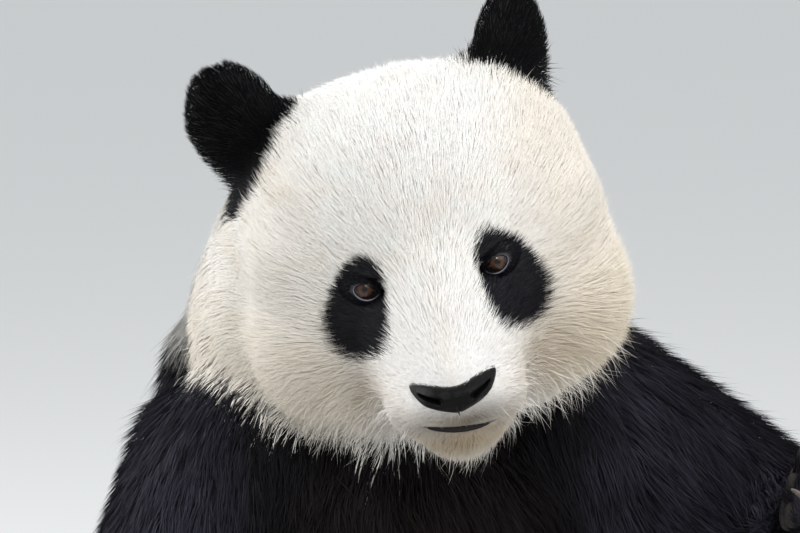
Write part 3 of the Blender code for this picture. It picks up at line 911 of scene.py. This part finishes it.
def joined_mesh(name, corners, up, tint, on_map):
    """One mesh of many like tufts, with its colours, its map and its soft shading.

    Each corner is shaded mostly as the skin below it, as light does in a real coat,
    where thousands of hairs even out what a few thick ones would show as stripes.
    """
    tufts, each = corners.shape[:2]
    index = (TUFT_FACES[None] + (np.arange(tufts) * each)[:, None, None]).reshape(-1)
    mesh = bpy.data.meshes.new(name)
    mesh.vertices.add(tufts * each)
    mesh.vertices.foreach_set("co", corners.astype(np.float32).ravel())
    mesh.loops.add(len(index))
    mesh.loops.foreach_set("vertex_index", index.astype(np.int32))
    mesh.polygons.add(len(index) // 3)
    mesh.polygons.foreach_set("loop_start", np.arange(0, len(index), 3, dtype=np.int32))
    mesh.update(calc_edges=True)
    paint(mesh, np.repeat(tint, each, axis=0))
    own = unit(corners - corners.mean(axis=1, keepdims=True))
    soft = unit(own * OWN_SHADING + up[:, None] * (1 - OWN_SHADING)).reshape(-1, 3)
    mesh.normals_split_custom_set_from_vertices(soft.tolist())
    down_tuft = np.linspace(-0.5, 0.5, each)
    across_tuft = np.where(np.arange(each) % 2, 0.5, -0.5)
    spot = np.column_stack([across_tuft, down_tuft]) * PATCH_ON_MAP
    flat = (on_map[:, None] + spot[None]).reshape(-1, 2)[index]
    mesh.uv_layers.new(name="OFBake").data.foreach_set("uv", flat.astype(np.float32).ravel())
    return add_object(name, mesh)


# %% [markdown]
# ## The coat's map
#
# For its colours to be baked to a flat picture, each tuft needs a small place of its own
# there. A view from one side would put an arm's tufts on top of the trunk's. So the
# patch of skin that a piece of coat grows on is unwrapped by itself, and each tuft takes
# the spot where its root lies.

# %% The coat's map
MAP_FOLD = math.radians(66)


def skin_map(points, faces, face, share):
    """Where each root falls on an unwrap of the skin that its piece of coat grows on."""
    used, which = np.unique(face, return_inverse=True)
    spots, corner = np.unique(faces[used], return_inverse=True)
    mesh = bpy.data.meshes.new("map")
    mesh.from_pydata(points[spots].tolist(), [], corner.reshape(-1, 3).tolist())
    patch = add_object("map", mesh)
    bpy.context.view_layer.objects.active = patch
    patch.select_set(True)
    bpy.ops.object.mode_set(mode="EDIT")
    bpy.ops.mesh.select_all(action="SELECT")
    bpy.ops.uv.smart_project(angle_limit=MAP_FOLD, island_margin=0.004)
    bpy.ops.object.mode_set(mode="OBJECT")
    flat = np.empty(len(mesh.loops) * 2)
    mesh.uv_layers.active.data.foreach_get("uv", flat)
    bpy.data.objects.remove(patch)
    flat = (flat.reshape(-1, 3, 2)[which] * share[:, :, None]).sum(1)
    low, high = flat.min(0), flat.max(0)
    return 0.01 + 0.98 * (flat - low) / (high - low)


# %% [markdown]
# ## Hairs that keep together
#
# Tufts that were all alike would look like a brush. So they differ a little in length,
# lean, width and shade, and a few stand out of the coat. Near ones draw together at
# their tips, as damp or greasy hair does, which gives the coat its locks. A force
# between all of them would be slow to work out, so a few lead and the others follow.

# %% Hairs that keep together
LEADERS = 0.03  # the share of tufts that others draw toward
STRAY_SHARE = 0.06  # hairs that stand out of the coat,
STRAY_FROM = 0.0125  # where it is at least this long
SHOWN_AT = 0.6  # a tuft takes the colour of the place where it shows, not of its root
FLOOR_CLEAR = 0.0006
LENGTH_VARIES, WIDTH_VARIES, RISE_VARIES = (0.75, 1.2), (0.7, 1.25), (0.78, 1.06)
STRAY_LONGER, STRAY_FINER, STRAY_HIGHER = 1.3, 0.6, 1.25
LEAN, STRAY_LEAN = 0.11, 0.20  # how far a tuft turns aside at random,
WAVES = ((0.20, 0.035, 3), (0.10, 0.012, 5))  # and in waves: how far, how long, seed
WHITE_SHADE, BLACK_SHADE = 0.020, 0.40  # how much tufts differ in lightness

rooted_normals, rooted_lie = rooted(skin_normals), rooted(lie)
rooted_length, rooted_width = rooted(length), rooted(width)
rooted_depth = rooted(depth + CHIN_LIFT * chin)
rooted_black, rooted_head = rooted(blackness), rooted(head_share)
coat_finish = tinted("fur", 0.62, 0.004, 0, gloss=0.06, fleck=(0.95, 1.04))


def draw_together(points, tips, gap, pull):
    """Tips move toward the tip of the nearest lock leader, a gap or so away."""
    leaders = dice.permutation(len(points))[: max(1, int(len(points) * LEADERS))]
    tree = tree_of(points[leaders])
    found = leaders[[tree.find(point)[1] for point in points.tolist()]]
    toward = tips[found] - tips
    near = np.linalg.norm(toward, axis=1) < gap
    return toward * (pull * near)[:, None]


def grow(name, base, up, along, size, wide, rise, tint, on_map):
    """One piece of coat: a tuft on every base, and the marks that the piece carries."""
    corners = tuft_points(base, up, along, size, wide, rise)
    corners[:, :, 2] = np.maximum(corners[:, :, 2], FLOOR_CLEAR)
    made = joined_mesh(name, corners, up, tint, on_map)
    made.data.materials.append(coat_finish)
    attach(made, "root")
    return len(made.data.polygons)


def coat_piece(name, chosen, pull):
    """The tufts of the chosen roots of the skin, their tips drawn together by the pull."""
    base, up = roots[chosen], unit(rooted_normals[chosen])
    count = len(base)
    along = lay_flat(rooted_lie[chosen], up)
    stray = (dice.random(count) < STRAY_SHARE) & (rooted_length[chosen] > STRAY_FROM)
    size = rooted_length[chosen] * dice.uniform(*LENGTH_VARIES, count)
    wide = rooted_width[chosen] * dice.uniform(*WIDTH_VARIES, count)
    rise = rooted_depth[chosen] * dice.uniform(*RISE_VARIES, count)
    size, wide, rise = (
        np.where(stray, value * more, value)
        for value, more in ((size, STRAY_LONGER), (wide, STRAY_FINER), (rise, STRAY_HIGHER))
    )
    lean = (LEAN + STRAY_LEAN * stray) * dice.normal(size=count)
    lean += sum(far * ripple(base, long, seed) for far, long, seed in WAVES)
    along = unit(along + np.cross(up, along) * lean[:, None]) * size[:, None]
    along += draw_together(base, base + along, size.mean() * 0.8, pull)
    size = np.linalg.norm(along, axis=1)
    shown = base + along * SHOWN_AT
    tint, black = marking(shown, rooted_black[chosen], rooted_head[chosen], dice.normal(size=count))
    shade = 1 + (WHITE_SHADE + BLACK_SHADE * black) * dice.normal(size=count).clip(-1.5, 2.5)
    shade += 0.025 * ripple(base, 0.03, 9)
    tint = np.clip(tint * shade[:, None], 0, 0.95)
    on_map = skin_map(skin_points, triangles, root_face[chosen], root_share[chosen])
    return grow(name, base, up, unit(along), size, wide, rise, tint, on_map)


print("the coat rises", rooted_depth.min().round(4), "to", rooted_depth.max().round(4), "off the skin")

# %% [markdown]
# ## The coat, part by part
#
# Each part of the body gets its own piece of coat, so that a viewer can handle and
# recolour it. A piece that would grow too large is split from the right to the left.

# %% The coat, part by part
LARGEST_PIECE = 190_000
COAT_PIECES = [  # a piece, the solids it covers, its slot and the pull of its locks
    ("coat_head", "head lower_jaw", "white_coat", 0.10),
    ("coat_ear_left", "ear_left", "black_coat", 0.10),
    ("coat_ear_right", "ear_right", "black_coat", 0.10),
    ("coat_neck", "neck", "white_coat", 0.10),
    ("coat_trunk", "trunk tail", "white_coat", 0.30),
]
for limb, foot in (("arm", "fore"), ("leg", "hind")):
    for word in ("left", "right"):
        covered = " ".join(f"{bone}_{word}" for bone in LIMBS[foot])
        COAT_PIECES.append((f"coat_{limb}_{word}", covered, "black_coat", 0.30))

coat_triangles = 0
for name, covered, slot, pull in COAT_PIECES:
    chosen = np.flatnonzero(on(*covered.split())[triangles[root_face, 0]])
    pieces = math.ceil(len(chosen) * len(TUFT_FACES) / LARGEST_PIECE)
    chosen = chosen[np.argsort(roots[chosen, 0], kind="stable")]
    for number, share in enumerate(np.array_split(chosen, pieces)):
        label = f"{name}_{number + 1}" if pieces > 1 else name
        coat_triangles += coat_piece(label, share, pull)
    print(name, len(chosen), "tufts in", pieces, "pieces")
print("the coat has", coat_triangles, "triangles")

# %% [markdown]
# ## Whiskers and stray hairs
#
# Chin, lips and the lower edge of the cheeks carry single long hairs, much finer than
# the locks. They break up the outline, where a coat of even tufts would look trimmed.
# They are picked at random from the same roots, most of them where each hill is high.

# %% Whiskers and stray hairs
WHISKER_WIDE = 0.00042
WHISKER_DROOP, WHISKER_SWAY = 0.5, 0.35
WHISKER_PLACES = (  # place, reach, how many, shortest and longest
    ((0.0, -0.050, -0.148), (0.052, 0.045, 0.012), 240, 0.014, 0.034),
    ((0.050, -0.065, -0.100), (0.016, 0.045, 0.028), 150, 0.012, 0.034),
    ((0.095, 0.020, -0.120), (0.050, 0.060, 0.024), 900, 0.022, 0.046),
)


def whiskers():
    places = to_face(roots)
    free = (rooted_head > 0.6) & (rooted_black < 0.4) & (eye_patch(places) > 1.5)
    free &= (np.abs(places[:, 0]) > 0.030) | (places[:, 2] < -0.128)
    chosen, size = [], []
    for top, reach, number, short, long in WHISKER_PLACES:
        chance = hills(places, top, reach) * free
        chosen.append(dice.choice(len(roots), number, replace=False, p=chance / chance.sum()))
        size.append(dice.uniform(short, long, number))
    chosen, size = np.concatenate(chosen), np.concatenate(size)
    count = len(chosen)
    up = unit(rooted_normals[chosen])
    sway = WHISKER_SWAY * dice.normal(size=(count, 3))
    along = lay_flat(rooted_lie[chosen] + WHISKER_DROOP * DOWN + sway, up)
    wide = WHISKER_WIDE * dice.uniform(0.7, 1.2, count)
    rise = rooted_depth[chosen] + size * dice.uniform(0.05, 0.45, count)
    tint, _ = marking(roots[chosen], rooted_black[chosen], rooted_head[chosen], np.zeros(count))
    tint = blend(tint, WHITE, dice.uniform(0.2, 0.8, count))
    on_map = skin_map(skin_points, triangles, root_face[chosen], root_share[chosen])
    grow("coat_whiskers", roots[chosen], up, along, size, wide, rise, tint, on_map)
    print(count, "whiskers and stray hairs")


whiskers()

# %% [markdown]
# ## Eyes
#
# A panda's eye is small and dark brown, with a bright wet front. The ball is one turned
# form with a slight bulge over the iris. Pupil, iris and the dark ring round it are
# rings about the way it looks, so they are drawn by distance from that axis, and a fine
# noise lets their edges wander. A clear coat on the shader makes the wet surface.

# %% Eyes
EYE_RADIUS, EYE_BULGE, BULGE_REACH = 0.0125, 0.07, 0.66
IRIS_SHARE, PUPIL_SHARE = 0.51, 0.17
EYE_RINGS = (  # how far out, as a share of the radius, and the colour there
    (0.0, (0.002, 0.002, 0.003)),
    (PUPIL_SHARE + 0.03, (0.003, 0.002, 0.002)),
    (PUPIL_SHARE + 0.07, (0.026, 0.010, 0.004)),
    (0.40, (0.066, 0.026, 0.010)),
    (IRIS_SHARE, (0.030, 0.012, 0.006)),
    (IRIS_SHARE + 0.07, (0.006, 0.005, 0.006)),
    (0.85, (0.016, 0.012, 0.012)),
)
SPECKLE_SCALE, SPECKLE_WANDER = 900, 0.0012
LOOK_UP, LOOK_OUT = math.radians(13), math.radians(3)
SIDES = (("left", 1), ("right", -1))


def eye_material():
    made, tree, shader = new_material("eye_wet", 0.12, 0.1)
    feed(shader, {"Coat Weight": 0.5, "Coat Roughness": 0.02})
    parts = add_node(tree, "SeparateXYZ", {"Vector": object_place(tree)}).outputs
    flat = add_node(tree, "CombineXYZ", {"X": parts["X"], "Z": parts["Z"]}).outputs["Vector"]
    away = add_node(tree, "VectorMath", {0: flat}, "LENGTH").outputs["Value"]
    speckle = add_node(tree, "TexNoise", {"Scale": SPECKLE_SCALE, "Vector": flat}).outputs["Fac"]
    wander = add_node(tree, "Math", {0: speckle, 1: SPECKLE_WANDER, 2: away}, "MULTIPLY_ADD")
    share = add_node(tree, "Math", {0: wander.outputs["Value"], 1: EYE_RADIUS}, "DIVIDE")
    rings = add_node(tree, "ValToRGB", {"Fac": share.outputs["Value"]})
    stops = rings.color_ramp.elements
    for position, _ in EYE_RINGS[1:-1]:
        stops.new(position)
    for stop, (position, colour) in zip(stops, EYE_RINGS):
        stop.position, stop.color = position, (*colour, 1)
    feed(shader, {"Base Color": rings.outputs["Color"]})
    return made


def eyeball(word, side):
    bm = bmesh.new()
    ahead = Matrix.Rotation(math.pi / 2, 4, "X")
    bmesh.ops.create_uvsphere(bm, u_segments=48, v_segments=32, radius=EYE_RADIUS, matrix=ahead)
    for vertex in bm.verts:
        off_axis = np.float64(math.hypot(vertex.co.x, vertex.co.z) / EYE_RADIUS)
        if vertex.co.y < 0:
            vertex.co *= 1 + EYE_BULGE * (1 - float(ramp(off_axis, 0.0, BULGE_REACH)))
    made = new_object("eyeball_" + word, bm)
    look = Matrix.Rotation(side * LOOK_OUT, 4, "Z") @ Matrix.Rotation(-LOOK_UP, 4, "X")
    made.matrix_world = face_matrix(middle("eye_" + word)) @ look
    finished(made, eye_finish)
    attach(made, "root")
    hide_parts("eye_" + word)


eye_finish = eye_material()
for word, side in SIDES:
    eyeball(word, side)
print("eyeballs of radius", EYE_RADIUS)

# %% [markdown]
# ## Eyelids
#
# The lids are a low mound over the ball with an almond opening: pointed at both
# corners, higher above than below. Modelled as rings from the opening outward, they
# have a thick, damp edge on the ball and run down into the skin.

# %% Eyelids
LID_STEPS = 56
LID_TILT = math.radians(22)  # the outer corner lies higher than the inner one
LID_WIDENING = 0.55  # the outer rings grow faster in height than in width
LID_STEEP, LID_SLOPE = 0.80, 0.55  # beyond this share of its radius the lid falls evenly
# Painted reflection of the sky on the wet lower and outer lid edge.
LID_EDGE_REFLECTION = (0.24, 0.21, 0.27)
# Each ring: how many times the opening's size, and how far it stands off the ball.
LID_RINGS = (
    (1.00, 0.0002),
    (1.02, 0.0009),
    (1.09, 0.0013),
    (1.22, 0.0016),
    (1.42, 0.0013),
    (1.70, 0.0003),
    (2.10, -0.0030),
)


def almond(angle, side):
    """A place on the lids' edge, x to the panda's left and z up from the ball's middle."""
    out, up = math.cos(angle), math.sin(angle)
    rounding = 1.0 if out > 0 else 1.45  # the inner corner is the sharper one
    height = EYE_HALF_HEIGHT * (1.02 if up > 0 else 0.98)
    x, z = EYE_HALF_WIDTH * out, height * math.copysign(abs(up) ** rounding, up)
    across, along = math.cos(LID_TILT), math.sin(LID_TILT)
    return side * (x * across - z * along), x * along + z * across


def lid_depth(x, z, stand):
    """How far ahead of the ball's middle the lid lies."""
    reach = EYE_RADIUS + stand
    away, steep = math.hypot(x, z), LID_STEEP * reach
    if away < steep:
        return math.sqrt(reach * reach - away * away)
    return math.sqrt(reach * reach - steep * steep) - (away - steep) * LID_SLOPE


def lid_colour(angle, times):
    """Black, with a painted reflection of the sky as a pale band along the damp lower and outer lid."""
    pale = ramp(np.float64(math.cos(angle - math.radians(-50))), -0.1, 0.7)
    return blend(LID_BLACK, LID_EDGE_REFLECTION, pale * (times < 1.05))


def bridge(bm, rings):
    """Faces from each ring of vertices to the next."""
    for low, high in zip(rings, rings[1:]):
        for k in range(len(low)):
            bm.faces.new((low[k - 1], low[k], high[k], high[k - 1]))
    bmesh.ops.recalc_face_normals(bm, faces=bm.faces)


def eyelids(word, side):
    bm = bmesh.new()
    rings, colours = [], []
    angles = [math.tau * step / LID_STEPS for step in range(LID_STEPS)]
    for times, stand in LID_RINGS:
        grown = times + LID_WIDENING * (times - 1)
        spots = [(x * times, z * grown) for x, z in (almond(angle, side) for angle in angles)]
        rings.append([bm.verts.new((x, -lid_depth(x, z, stand), z)) for x, z in spots])
        colours += [lid_colour(angle, times) for angle in angles]
    bridge(bm, rings)
    bm.faces.ensure_lookup_table()
    if bm.faces[LID_STEPS * 3].normal.y > 0:
        bmesh.ops.reverse_faces(bm, faces=bm.faces)
    made = new_object("eyelids_" + word, bm)
    made.data.transform(face_matrix(middle("eye_" + word)))
    paint(made.data, np.array(colours))
    finished(made, lid_finish)
    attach(made, "root")
    return made


lid_finish = tinted("eyelid_skin", 0.30, 0.0012, 0.0002)
print("eyelids of", len(LID_RINGS), "rings of", LID_STEPS, "points")

# %% [markdown]
# ## The lids' hair
#
# The lids are black and carry the shortest hair of all, lying outward from the opening.
# It grows in the same way as the coat, on the lids' own triangles, but not between the
# innermost rings, which are the bare, damp edge. Each lid is built and furred in one go.

# %% The lids' hair
LID_HAIR_BLACK = (0.00576, 0.00576, 0.00768)
LID_HAIR, LID_HAIR_GAP, LID_HAIR_WIDE, LID_HAIR_RISE = 0.0050, 0.0008, 0.00055, 0.0011
LID_BARE_RINGS = 2


def lid_coat(made, word, side):
    """The shortest hair of all, lying outward over the lids from a little off their edge."""
    points, faces = mesh_arrays(made.data)
    faces = faces[LID_STEPS * 2 * LID_BARE_RINGS:]
    face, share = scatter(points, faces, np.full(len(points), LID_HAIR_GAP))
    base = at_roots(points, faces, face, share)
    a, b, c = (points[faces[face, k]] for k in range(3))
    up = unit(np.cross(b - a, c - a))
    along = lay_flat(base - middle("eye_" + word) + 0.4 * side * EYE_HALF_WIDTH * face_left, up)
    count = len(base)
    size = LID_HAIR * dice.uniform(0.7, 1.3, count)
    wide = LID_HAIR_WIDE * dice.uniform(0.7, 1.3, count)
    rise = LID_HAIR_RISE * dice.uniform(0.5, 1.2, count)
    tint = np.tile(LID_HAIR_BLACK, (count, 1))
    on_map = skin_map(points, faces, face, share)
    grow("coat_eyelids_" + word, base, up, along, size, wide, rise, tint, on_map)
    print("eyelid", word, "has", count, "hairs")


for word, side in SIDES:
    lid_coat(eyelids(word, side), word, side)

# %% [markdown]
# ## Nose
#
# The nose pad is bare, black, finely pebbled skin: wide above, drawn to a point below,
# with a notch where the bridge's fur dips into it, a nostril curling out to each side
# and a groove down the middle. Carving it from a block would leave its outline to
# chance. So the outline is given by two curves, one above and one below, a net of
# points is drawn between them, and every point is laid on the muzzle: a little proud
# of it, sunk at the rim and hollow in the nostrils.

# %% Nose
NOSE_ACROSS, NOSE_DOWN = 96, 44
NOSE_PROUD, NOSE_RIM_SUNK, NOSE_THICK = 0.0038, 0.0022, 0.010
NOSTRIL_IN, NOSTRIL_OUT = 0.37, 0.88  # the shares of the half width it spans
NOSTRIL_UP, NOSTRIL_SLOPE = 0.0036, 0.0110
NOSTRIL_THICK, NOSTRIL_THINNER = 0.0021, 0.0012
NOSTRIL_DEEP, GROOVE_DEEP, GROOVE_HALF_WIDTH = 0.0095, 0.0018, 0.0012
outer_tree = BVHTree.FromPolygons(outer.tolist(), triangles.tolist())


def hit_from_ahead(tree, x, z):
    """The place on a surface that is straight behind x, z of the face."""
    start = Vector(from_face((x, -0.35, z)))
    return tree.ray_cast(start, Vector(face_back))[0]


def nose_front(s, t):
    """The pad's places, for s from -1 to 1 across it and t from 0 to 1 down it."""
    x = s * NOSE_WIDTH / 2
    z = nose_top(s) + (nose_bottom(s) - nose_top(s)) * t
    spots = zip((x + nose_place[0]).flat, (z + nose_place[2]).flat)
    behind = [hit_from_ahead(outer_tree, *spot) for spot in spots]
    y = to_face(behind)[:, 1].reshape(x.shape) - nose_place[1]
    fullness = np.clip(4 * t * (1 - t), 0, 1) ** 0.40 * np.clip(1 - s**4, 0, 1) ** 0.5
    y = y + NOSE_RIM_SUNK - (NOSE_RIM_SUNK + NOSE_PROUD) * fullness
    outward = np.abs(s)
    slit = NOSTRIL_UP + NOSTRIL_SLOPE * (outward - NOSTRIL_IN)
    where = ramp(outward, NOSTRIL_IN - 0.08, NOSTRIL_IN + 0.03)
    where = where * (1 - ramp(outward, NOSTRIL_OUT - 0.16, NOSTRIL_OUT))
    thick = NOSTRIL_THICK - NOSTRIL_THINNER * ramp(outward, NOSTRIL_IN, NOSTRIL_OUT)
    nostril = np.exp(-(((z - slit) / thick) ** 2)) * where
    groove = np.exp(-((x / GROOVE_HALF_WIDTH) ** 2)) * ramp(t, 0.35, 0.75)
    return np.stack([x, y + NOSTRIL_DEEP * nostril + GROOVE_DEEP * groove, z], axis=-1)


def nose_pad():
    s = np.sin(np.linspace(-1, 1, NOSE_ACROSS) * math.pi / 2) * 0.998
    t = (1 - np.cos(np.linspace(0, 1, NOSE_DOWN) * math.pi)) / 2
    net = nose_front(*np.meshgrid(s, t, indexing="ij"))
    bm = bmesh.new()
    front = [[bm.verts.new(spot) for spot in row] for row in net.tolist()]
    back = [[bm.verts.new((x, y + NOSE_THICK, z)) for x, y, z in row] for row in net.tolist()]
    for sheet in (front, back):
        for left, right in zip(sheet, sheet[1:]):
            for k in range(NOSE_DOWN - 1):
                bm.faces.new((left[k], left[k + 1], right[k + 1], right[k]))
    rim = [(i, 0) for i in range(NOSE_ACROSS)] + [(NOSE_ACROSS - 1, k) for k in range(1, NOSE_DOWN)]
    rim += [(i, NOSE_DOWN - 1) for i in range(NOSE_ACROSS - 2, -1, -1)]
    rim += [(0, k) for k in range(NOSE_DOWN - 2, 0, -1)]
    for (i, k), (m, n) in zip(rim, rim[1:] + rim[:1]):
        bm.faces.new((front[i][k], front[m][n], back[m][n], back[i][k]))
    bmesh.ops.recalc_face_normals(bm, faces=bm.faces)
    made = new_object("nose_pad", bm)
    made.data.transform(face_matrix(nose_middle))
    return made


nose = nose_pad()
print("nose pad", NOSE_WIDTH, "wide, of", len(nose.data.vertices), "points")

# %% [markdown]
# ## Leather
#
# The nose and the pads of the paws are bare skin, cut into small raised cells with
# furrows between. Modelling each cell would cost far too many faces, so the cells are a
# pattern in the material that tilts the light: finer and glossier on the nose, coarser
# and drier on the soles.

# %% Leather


def leather(name, roughness, gloss, colour, cell, height):
    """Bare skin in small raised cells of this size and height."""
    made, tree, shader = new_material(name, roughness, gloss, colour)
    cells = add_node(tree, "TexVoronoi", {"Scale": 1 / cell, "Vector": object_place(tree)})
    bump = add_node(tree, "Bump", {"Distance": height, "Height": cells.outputs["Distance"]})
    bump.invert = True
    feed(shader, {"Normal": bump.outputs["Normal"]})
    return made


finished(nose, leather("nose_leather", 0.38, 0.10, (0.0030, 0.0026, 0.0026), 0.0011, 0.00022))
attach(nose, "root")
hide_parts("nose")
print("nose finished as leather")

# %% [markdown]
# ## Mouth
#
# The mouth is nearly closed. What shows is the dark, slightly damp edge of the lips:
# a line under the muzzle, and a short one that runs down toward it from the nose. Both
# are slim tapered cords of skin, laid on the muzzle by dropping their points onto it.

# %% Mouth
LIP_THICK, LIP_PROUD, LIP_RIGHT, LIP_LEFT = 0.0070, 0.0012, -0.028, 0.023
CLEFT_THICK, CLEFT_PROUD, CLEFT_LONG, CLEFT_UNDER_NOSE = 0.0012, 0.0003, 0.0050, 0.002
STRAND_SIDES = 8


def on_muzzle(x, z, proud):
    """The place on the skin straight behind x, z of the face, a little proud of it."""
    return hit_from_ahead(skin_tree, x, z) - Vector(face_back) * proud


def strand(name, line, thick):
    """A closed round strand of lip along points, thinning to nothing at both ends."""
    bm = bmesh.new()
    rings = []
    for number, spot in enumerate(line[1:-1], 1):
        ahead = (line[number + 1] - line[number - 1]).normalized()
        turn = ahead.to_track_quat("Z", "Y").to_matrix()
        radius = thick / 2 * math.sin(math.pi * number / (len(line) - 1)) ** 0.5
        angles = [math.tau * k / STRAND_SIDES for k in range(STRAND_SIDES)]
        spokes = [Vector((math.cos(angle), math.sin(angle), 0)) * radius for angle in angles]
        rings.append([bm.verts.new(spot + turn @ spoke) for spoke in spokes])
    first, last = bm.verts.new(line[0]), bm.verts.new(line[-1])
    for k in range(STRAND_SIDES):
        bm.faces.new((rings[0][k], rings[0][k - 1], first))
        bm.faces.new((rings[-1][k - 1], rings[-1][k], last))
    bridge(bm, rings)
    made = new_object(name, bm)
    finished(made, lip_finish)
    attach(made, "root")


lip_finish = new_material("lip_skin", 0.42, 0.2, (0.008, 0.005, 0.006))[0]
lip_line = [on_muzzle(x, mouth_line(x), LIP_PROUD) for x in np.linspace(LIP_RIGHT, LIP_LEFT, 25)]
strand("lips", lip_line, LIP_THICK)
nose_tip = nose_place[2] + NOSE_CORNER_UP - NOSE_TALL
cleft_heights = np.linspace(nose_tip + CLEFT_UNDER_NOSE, nose_tip - CLEFT_LONG, 8)
strand("lip_cleft", [on_muzzle(0, z, CLEFT_PROUD) for z in cleft_heights], CLEFT_THICK)
print("lips from", LIP_RIGHT, "to", LIP_LEFT, "of the face")

# %% [markdown]
# ## Paw pads
#
# Each pad is a low cushion. The three middles of the broad one are melted together by
# the same voxel wrap that made the skin, and a cracked, dry leather finishes them.

# %% Paw pads
PAD_VOXEL, PAD_SOFTENING = 0.0016, 6
pad_finish = leather("pad_leather", 0.66, 0.25, (0.022, 0.018, 0.017), 0.0024, 0.0005)

for paw, found in pads.items():
    bm = bmesh.new()
    for spot, axes, half in found:
        cushion = Matrix.Translation(spot) @ turned(axes) @ Matrix.Diagonal((*half, 1))
        bmesh.ops.create_icosphere(bm, subdivisions=3, radius=1, matrix=cushion)
    cushions = new_object("pads_" + paw, bm)
    wrap(cushions, PAD_VOXEL, PAD_SOFTENING)
    finished(cushions, pad_finish)
    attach(cushions, "root")
    print("pads of", paw, "have", len(cushions.data.polygons), "faces")

# %% [markdown]
# ## Claws
#
# Each toe ends in a dark curved claw. The solids already have the right place, length
# and bend, and only look faceted, so they stay. Their faces are joined and subdivided,
# which rounds them, and they get a horn finish with soft pale streaks.

# %% Claws
CLAW_WELD = 0.00005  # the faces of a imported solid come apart, and are joined first
HORN_DARK, HORN_PALE = (0.022, 0.018, 0.016, 1), (0.160, 0.130, 0.100, 1)
HORN_STREAKS = 260

horn, tree, shader = new_material("claw_horn", 0.36)
streaks = add_node(tree, "TexNoise", {"Scale": HORN_STREAKS, "Vector": object_place(tree)})
share = streaks.outputs["Fac"]
horn_tint = add_node(tree, "MixRGB", {"Fac": share, "Color1": HORN_DARK, "Color2": HORN_PALE})
feed(shader, {"Base Color": horn_tint.outputs["Color"]})

claw_names = [name for name in sorted(nodes) if name.startswith("claw")]
for name in claw_names:
    claw = nodes[name]
    claw.data.materials.clear()
    claw.data.materials.append(horn)
    claw.modifiers.new("joined", "WELD").merge_threshold = CLAW_WELD
    rounder = claw.modifiers.new("round", "SUBSURF")
    rounder.levels = rounder.render_levels = 2
print(len(claw_names), "claws")

# %% [markdown]
# ## Floor, light and camera
#
# A pale floor and large soft lights show a coat best: hard light would turn every tuft
# into a line. One wide lamp above and in front is the sky, and the pale surroundings do
# much of the rest. A smaller one stands for a window and shines back from the eyes, a
# weak one fills the shade on the panda's left, and one behind draws the coat's edge. The
# camera stands a little to its right and above its eyes, with a long lens, as one keeps
# away from a bear.

# %% Floor, light and camera
CAMERA_AZIMUTH, CAMERA_ELEVATION = math.radians(-20), math.radians(8)
CAMERA_AWAY, LENS, SHIFT = 3.25, 180, (-0.03875, 0.0106)
FLOOR_UNDER, FLOOR_COLOUR = 0.0005, (0.80, 0.80, 0.78)
SURROUNDINGS, SURROUNDINGS_STRENGTH = (0.93, 0.96, 1.0, 1), 0.76
LAMPS = (  # name, place, power and size; each points at the head
    ("sky", (1.0, -2.2, 3.8), 86, 4.2),
    ("window", (-0.75, -2.6, 3.4), 36, 0.8),
    ("fill", (2.4, -2.0, 1.6), 5, 2.0),
    ("rim", (-2.4, 1.8, 2.0), 60, 2.4),
)


def add_floor():
    bm = bmesh.new()
    bmesh.ops.create_grid(bm, x_segments=1, y_segments=1, size=60)
    floor = new_object("floor", bm)
    floor.location.z = -FLOOR_UNDER
    floor.data.materials.append(new_material("pale_floor", 0.9, colour=FLOOR_COLOUR)[0])


def point_back(made, toward):
    """Turn a lamp or camera so that it faces against this direction."""
    made.rotation_euler = (-toward).to_track_quat("-Z", "Y").to_euler()


def add_lamp(name, place, power, size):
    lamp = bpy.data.lights.new(name, "AREA")
    lamp.energy, lamp.size = power, size
    made = add_object(name, lamp)
    made.location = place
    point_back(made, Vector(place) - Vector(middle("head")))


def add_camera():
    data = bpy.data.cameras.new("camera")
    data.lens = LENS
    data.shift_x, data.shift_y = SHIFT
    made = add_object("camera", data)
    flat = math.cos(CAMERA_ELEVATION)
    x, y = math.sin(CAMERA_AZIMUTH) * flat, -math.cos(CAMERA_AZIMUTH) * flat
    toward = Vector((x, y, math.sin(CAMERA_ELEVATION)))
    made.location = Vector(between_eyes) + toward * CAMERA_AWAY
    point_back(made, toward)
    bpy.context.scene.camera = made


add_floor()
for lamp in LAMPS:
    add_lamp(*lamp)
world = bpy.data.worlds.new("surroundings")
bpy.context.scene.world = world
world.use_nodes = True
background = world.node_tree.nodes["Background"]
feed(background, {"Color": SURROUNDINGS, "Strength": SURROUNDINGS_STRENGTH})
bpy.context.scene.view_settings.view_transform = "Standard"
add_camera()
print(len(LAMPS), "lamps, and a camera", CAMERA_AWAY, "from the eyes")
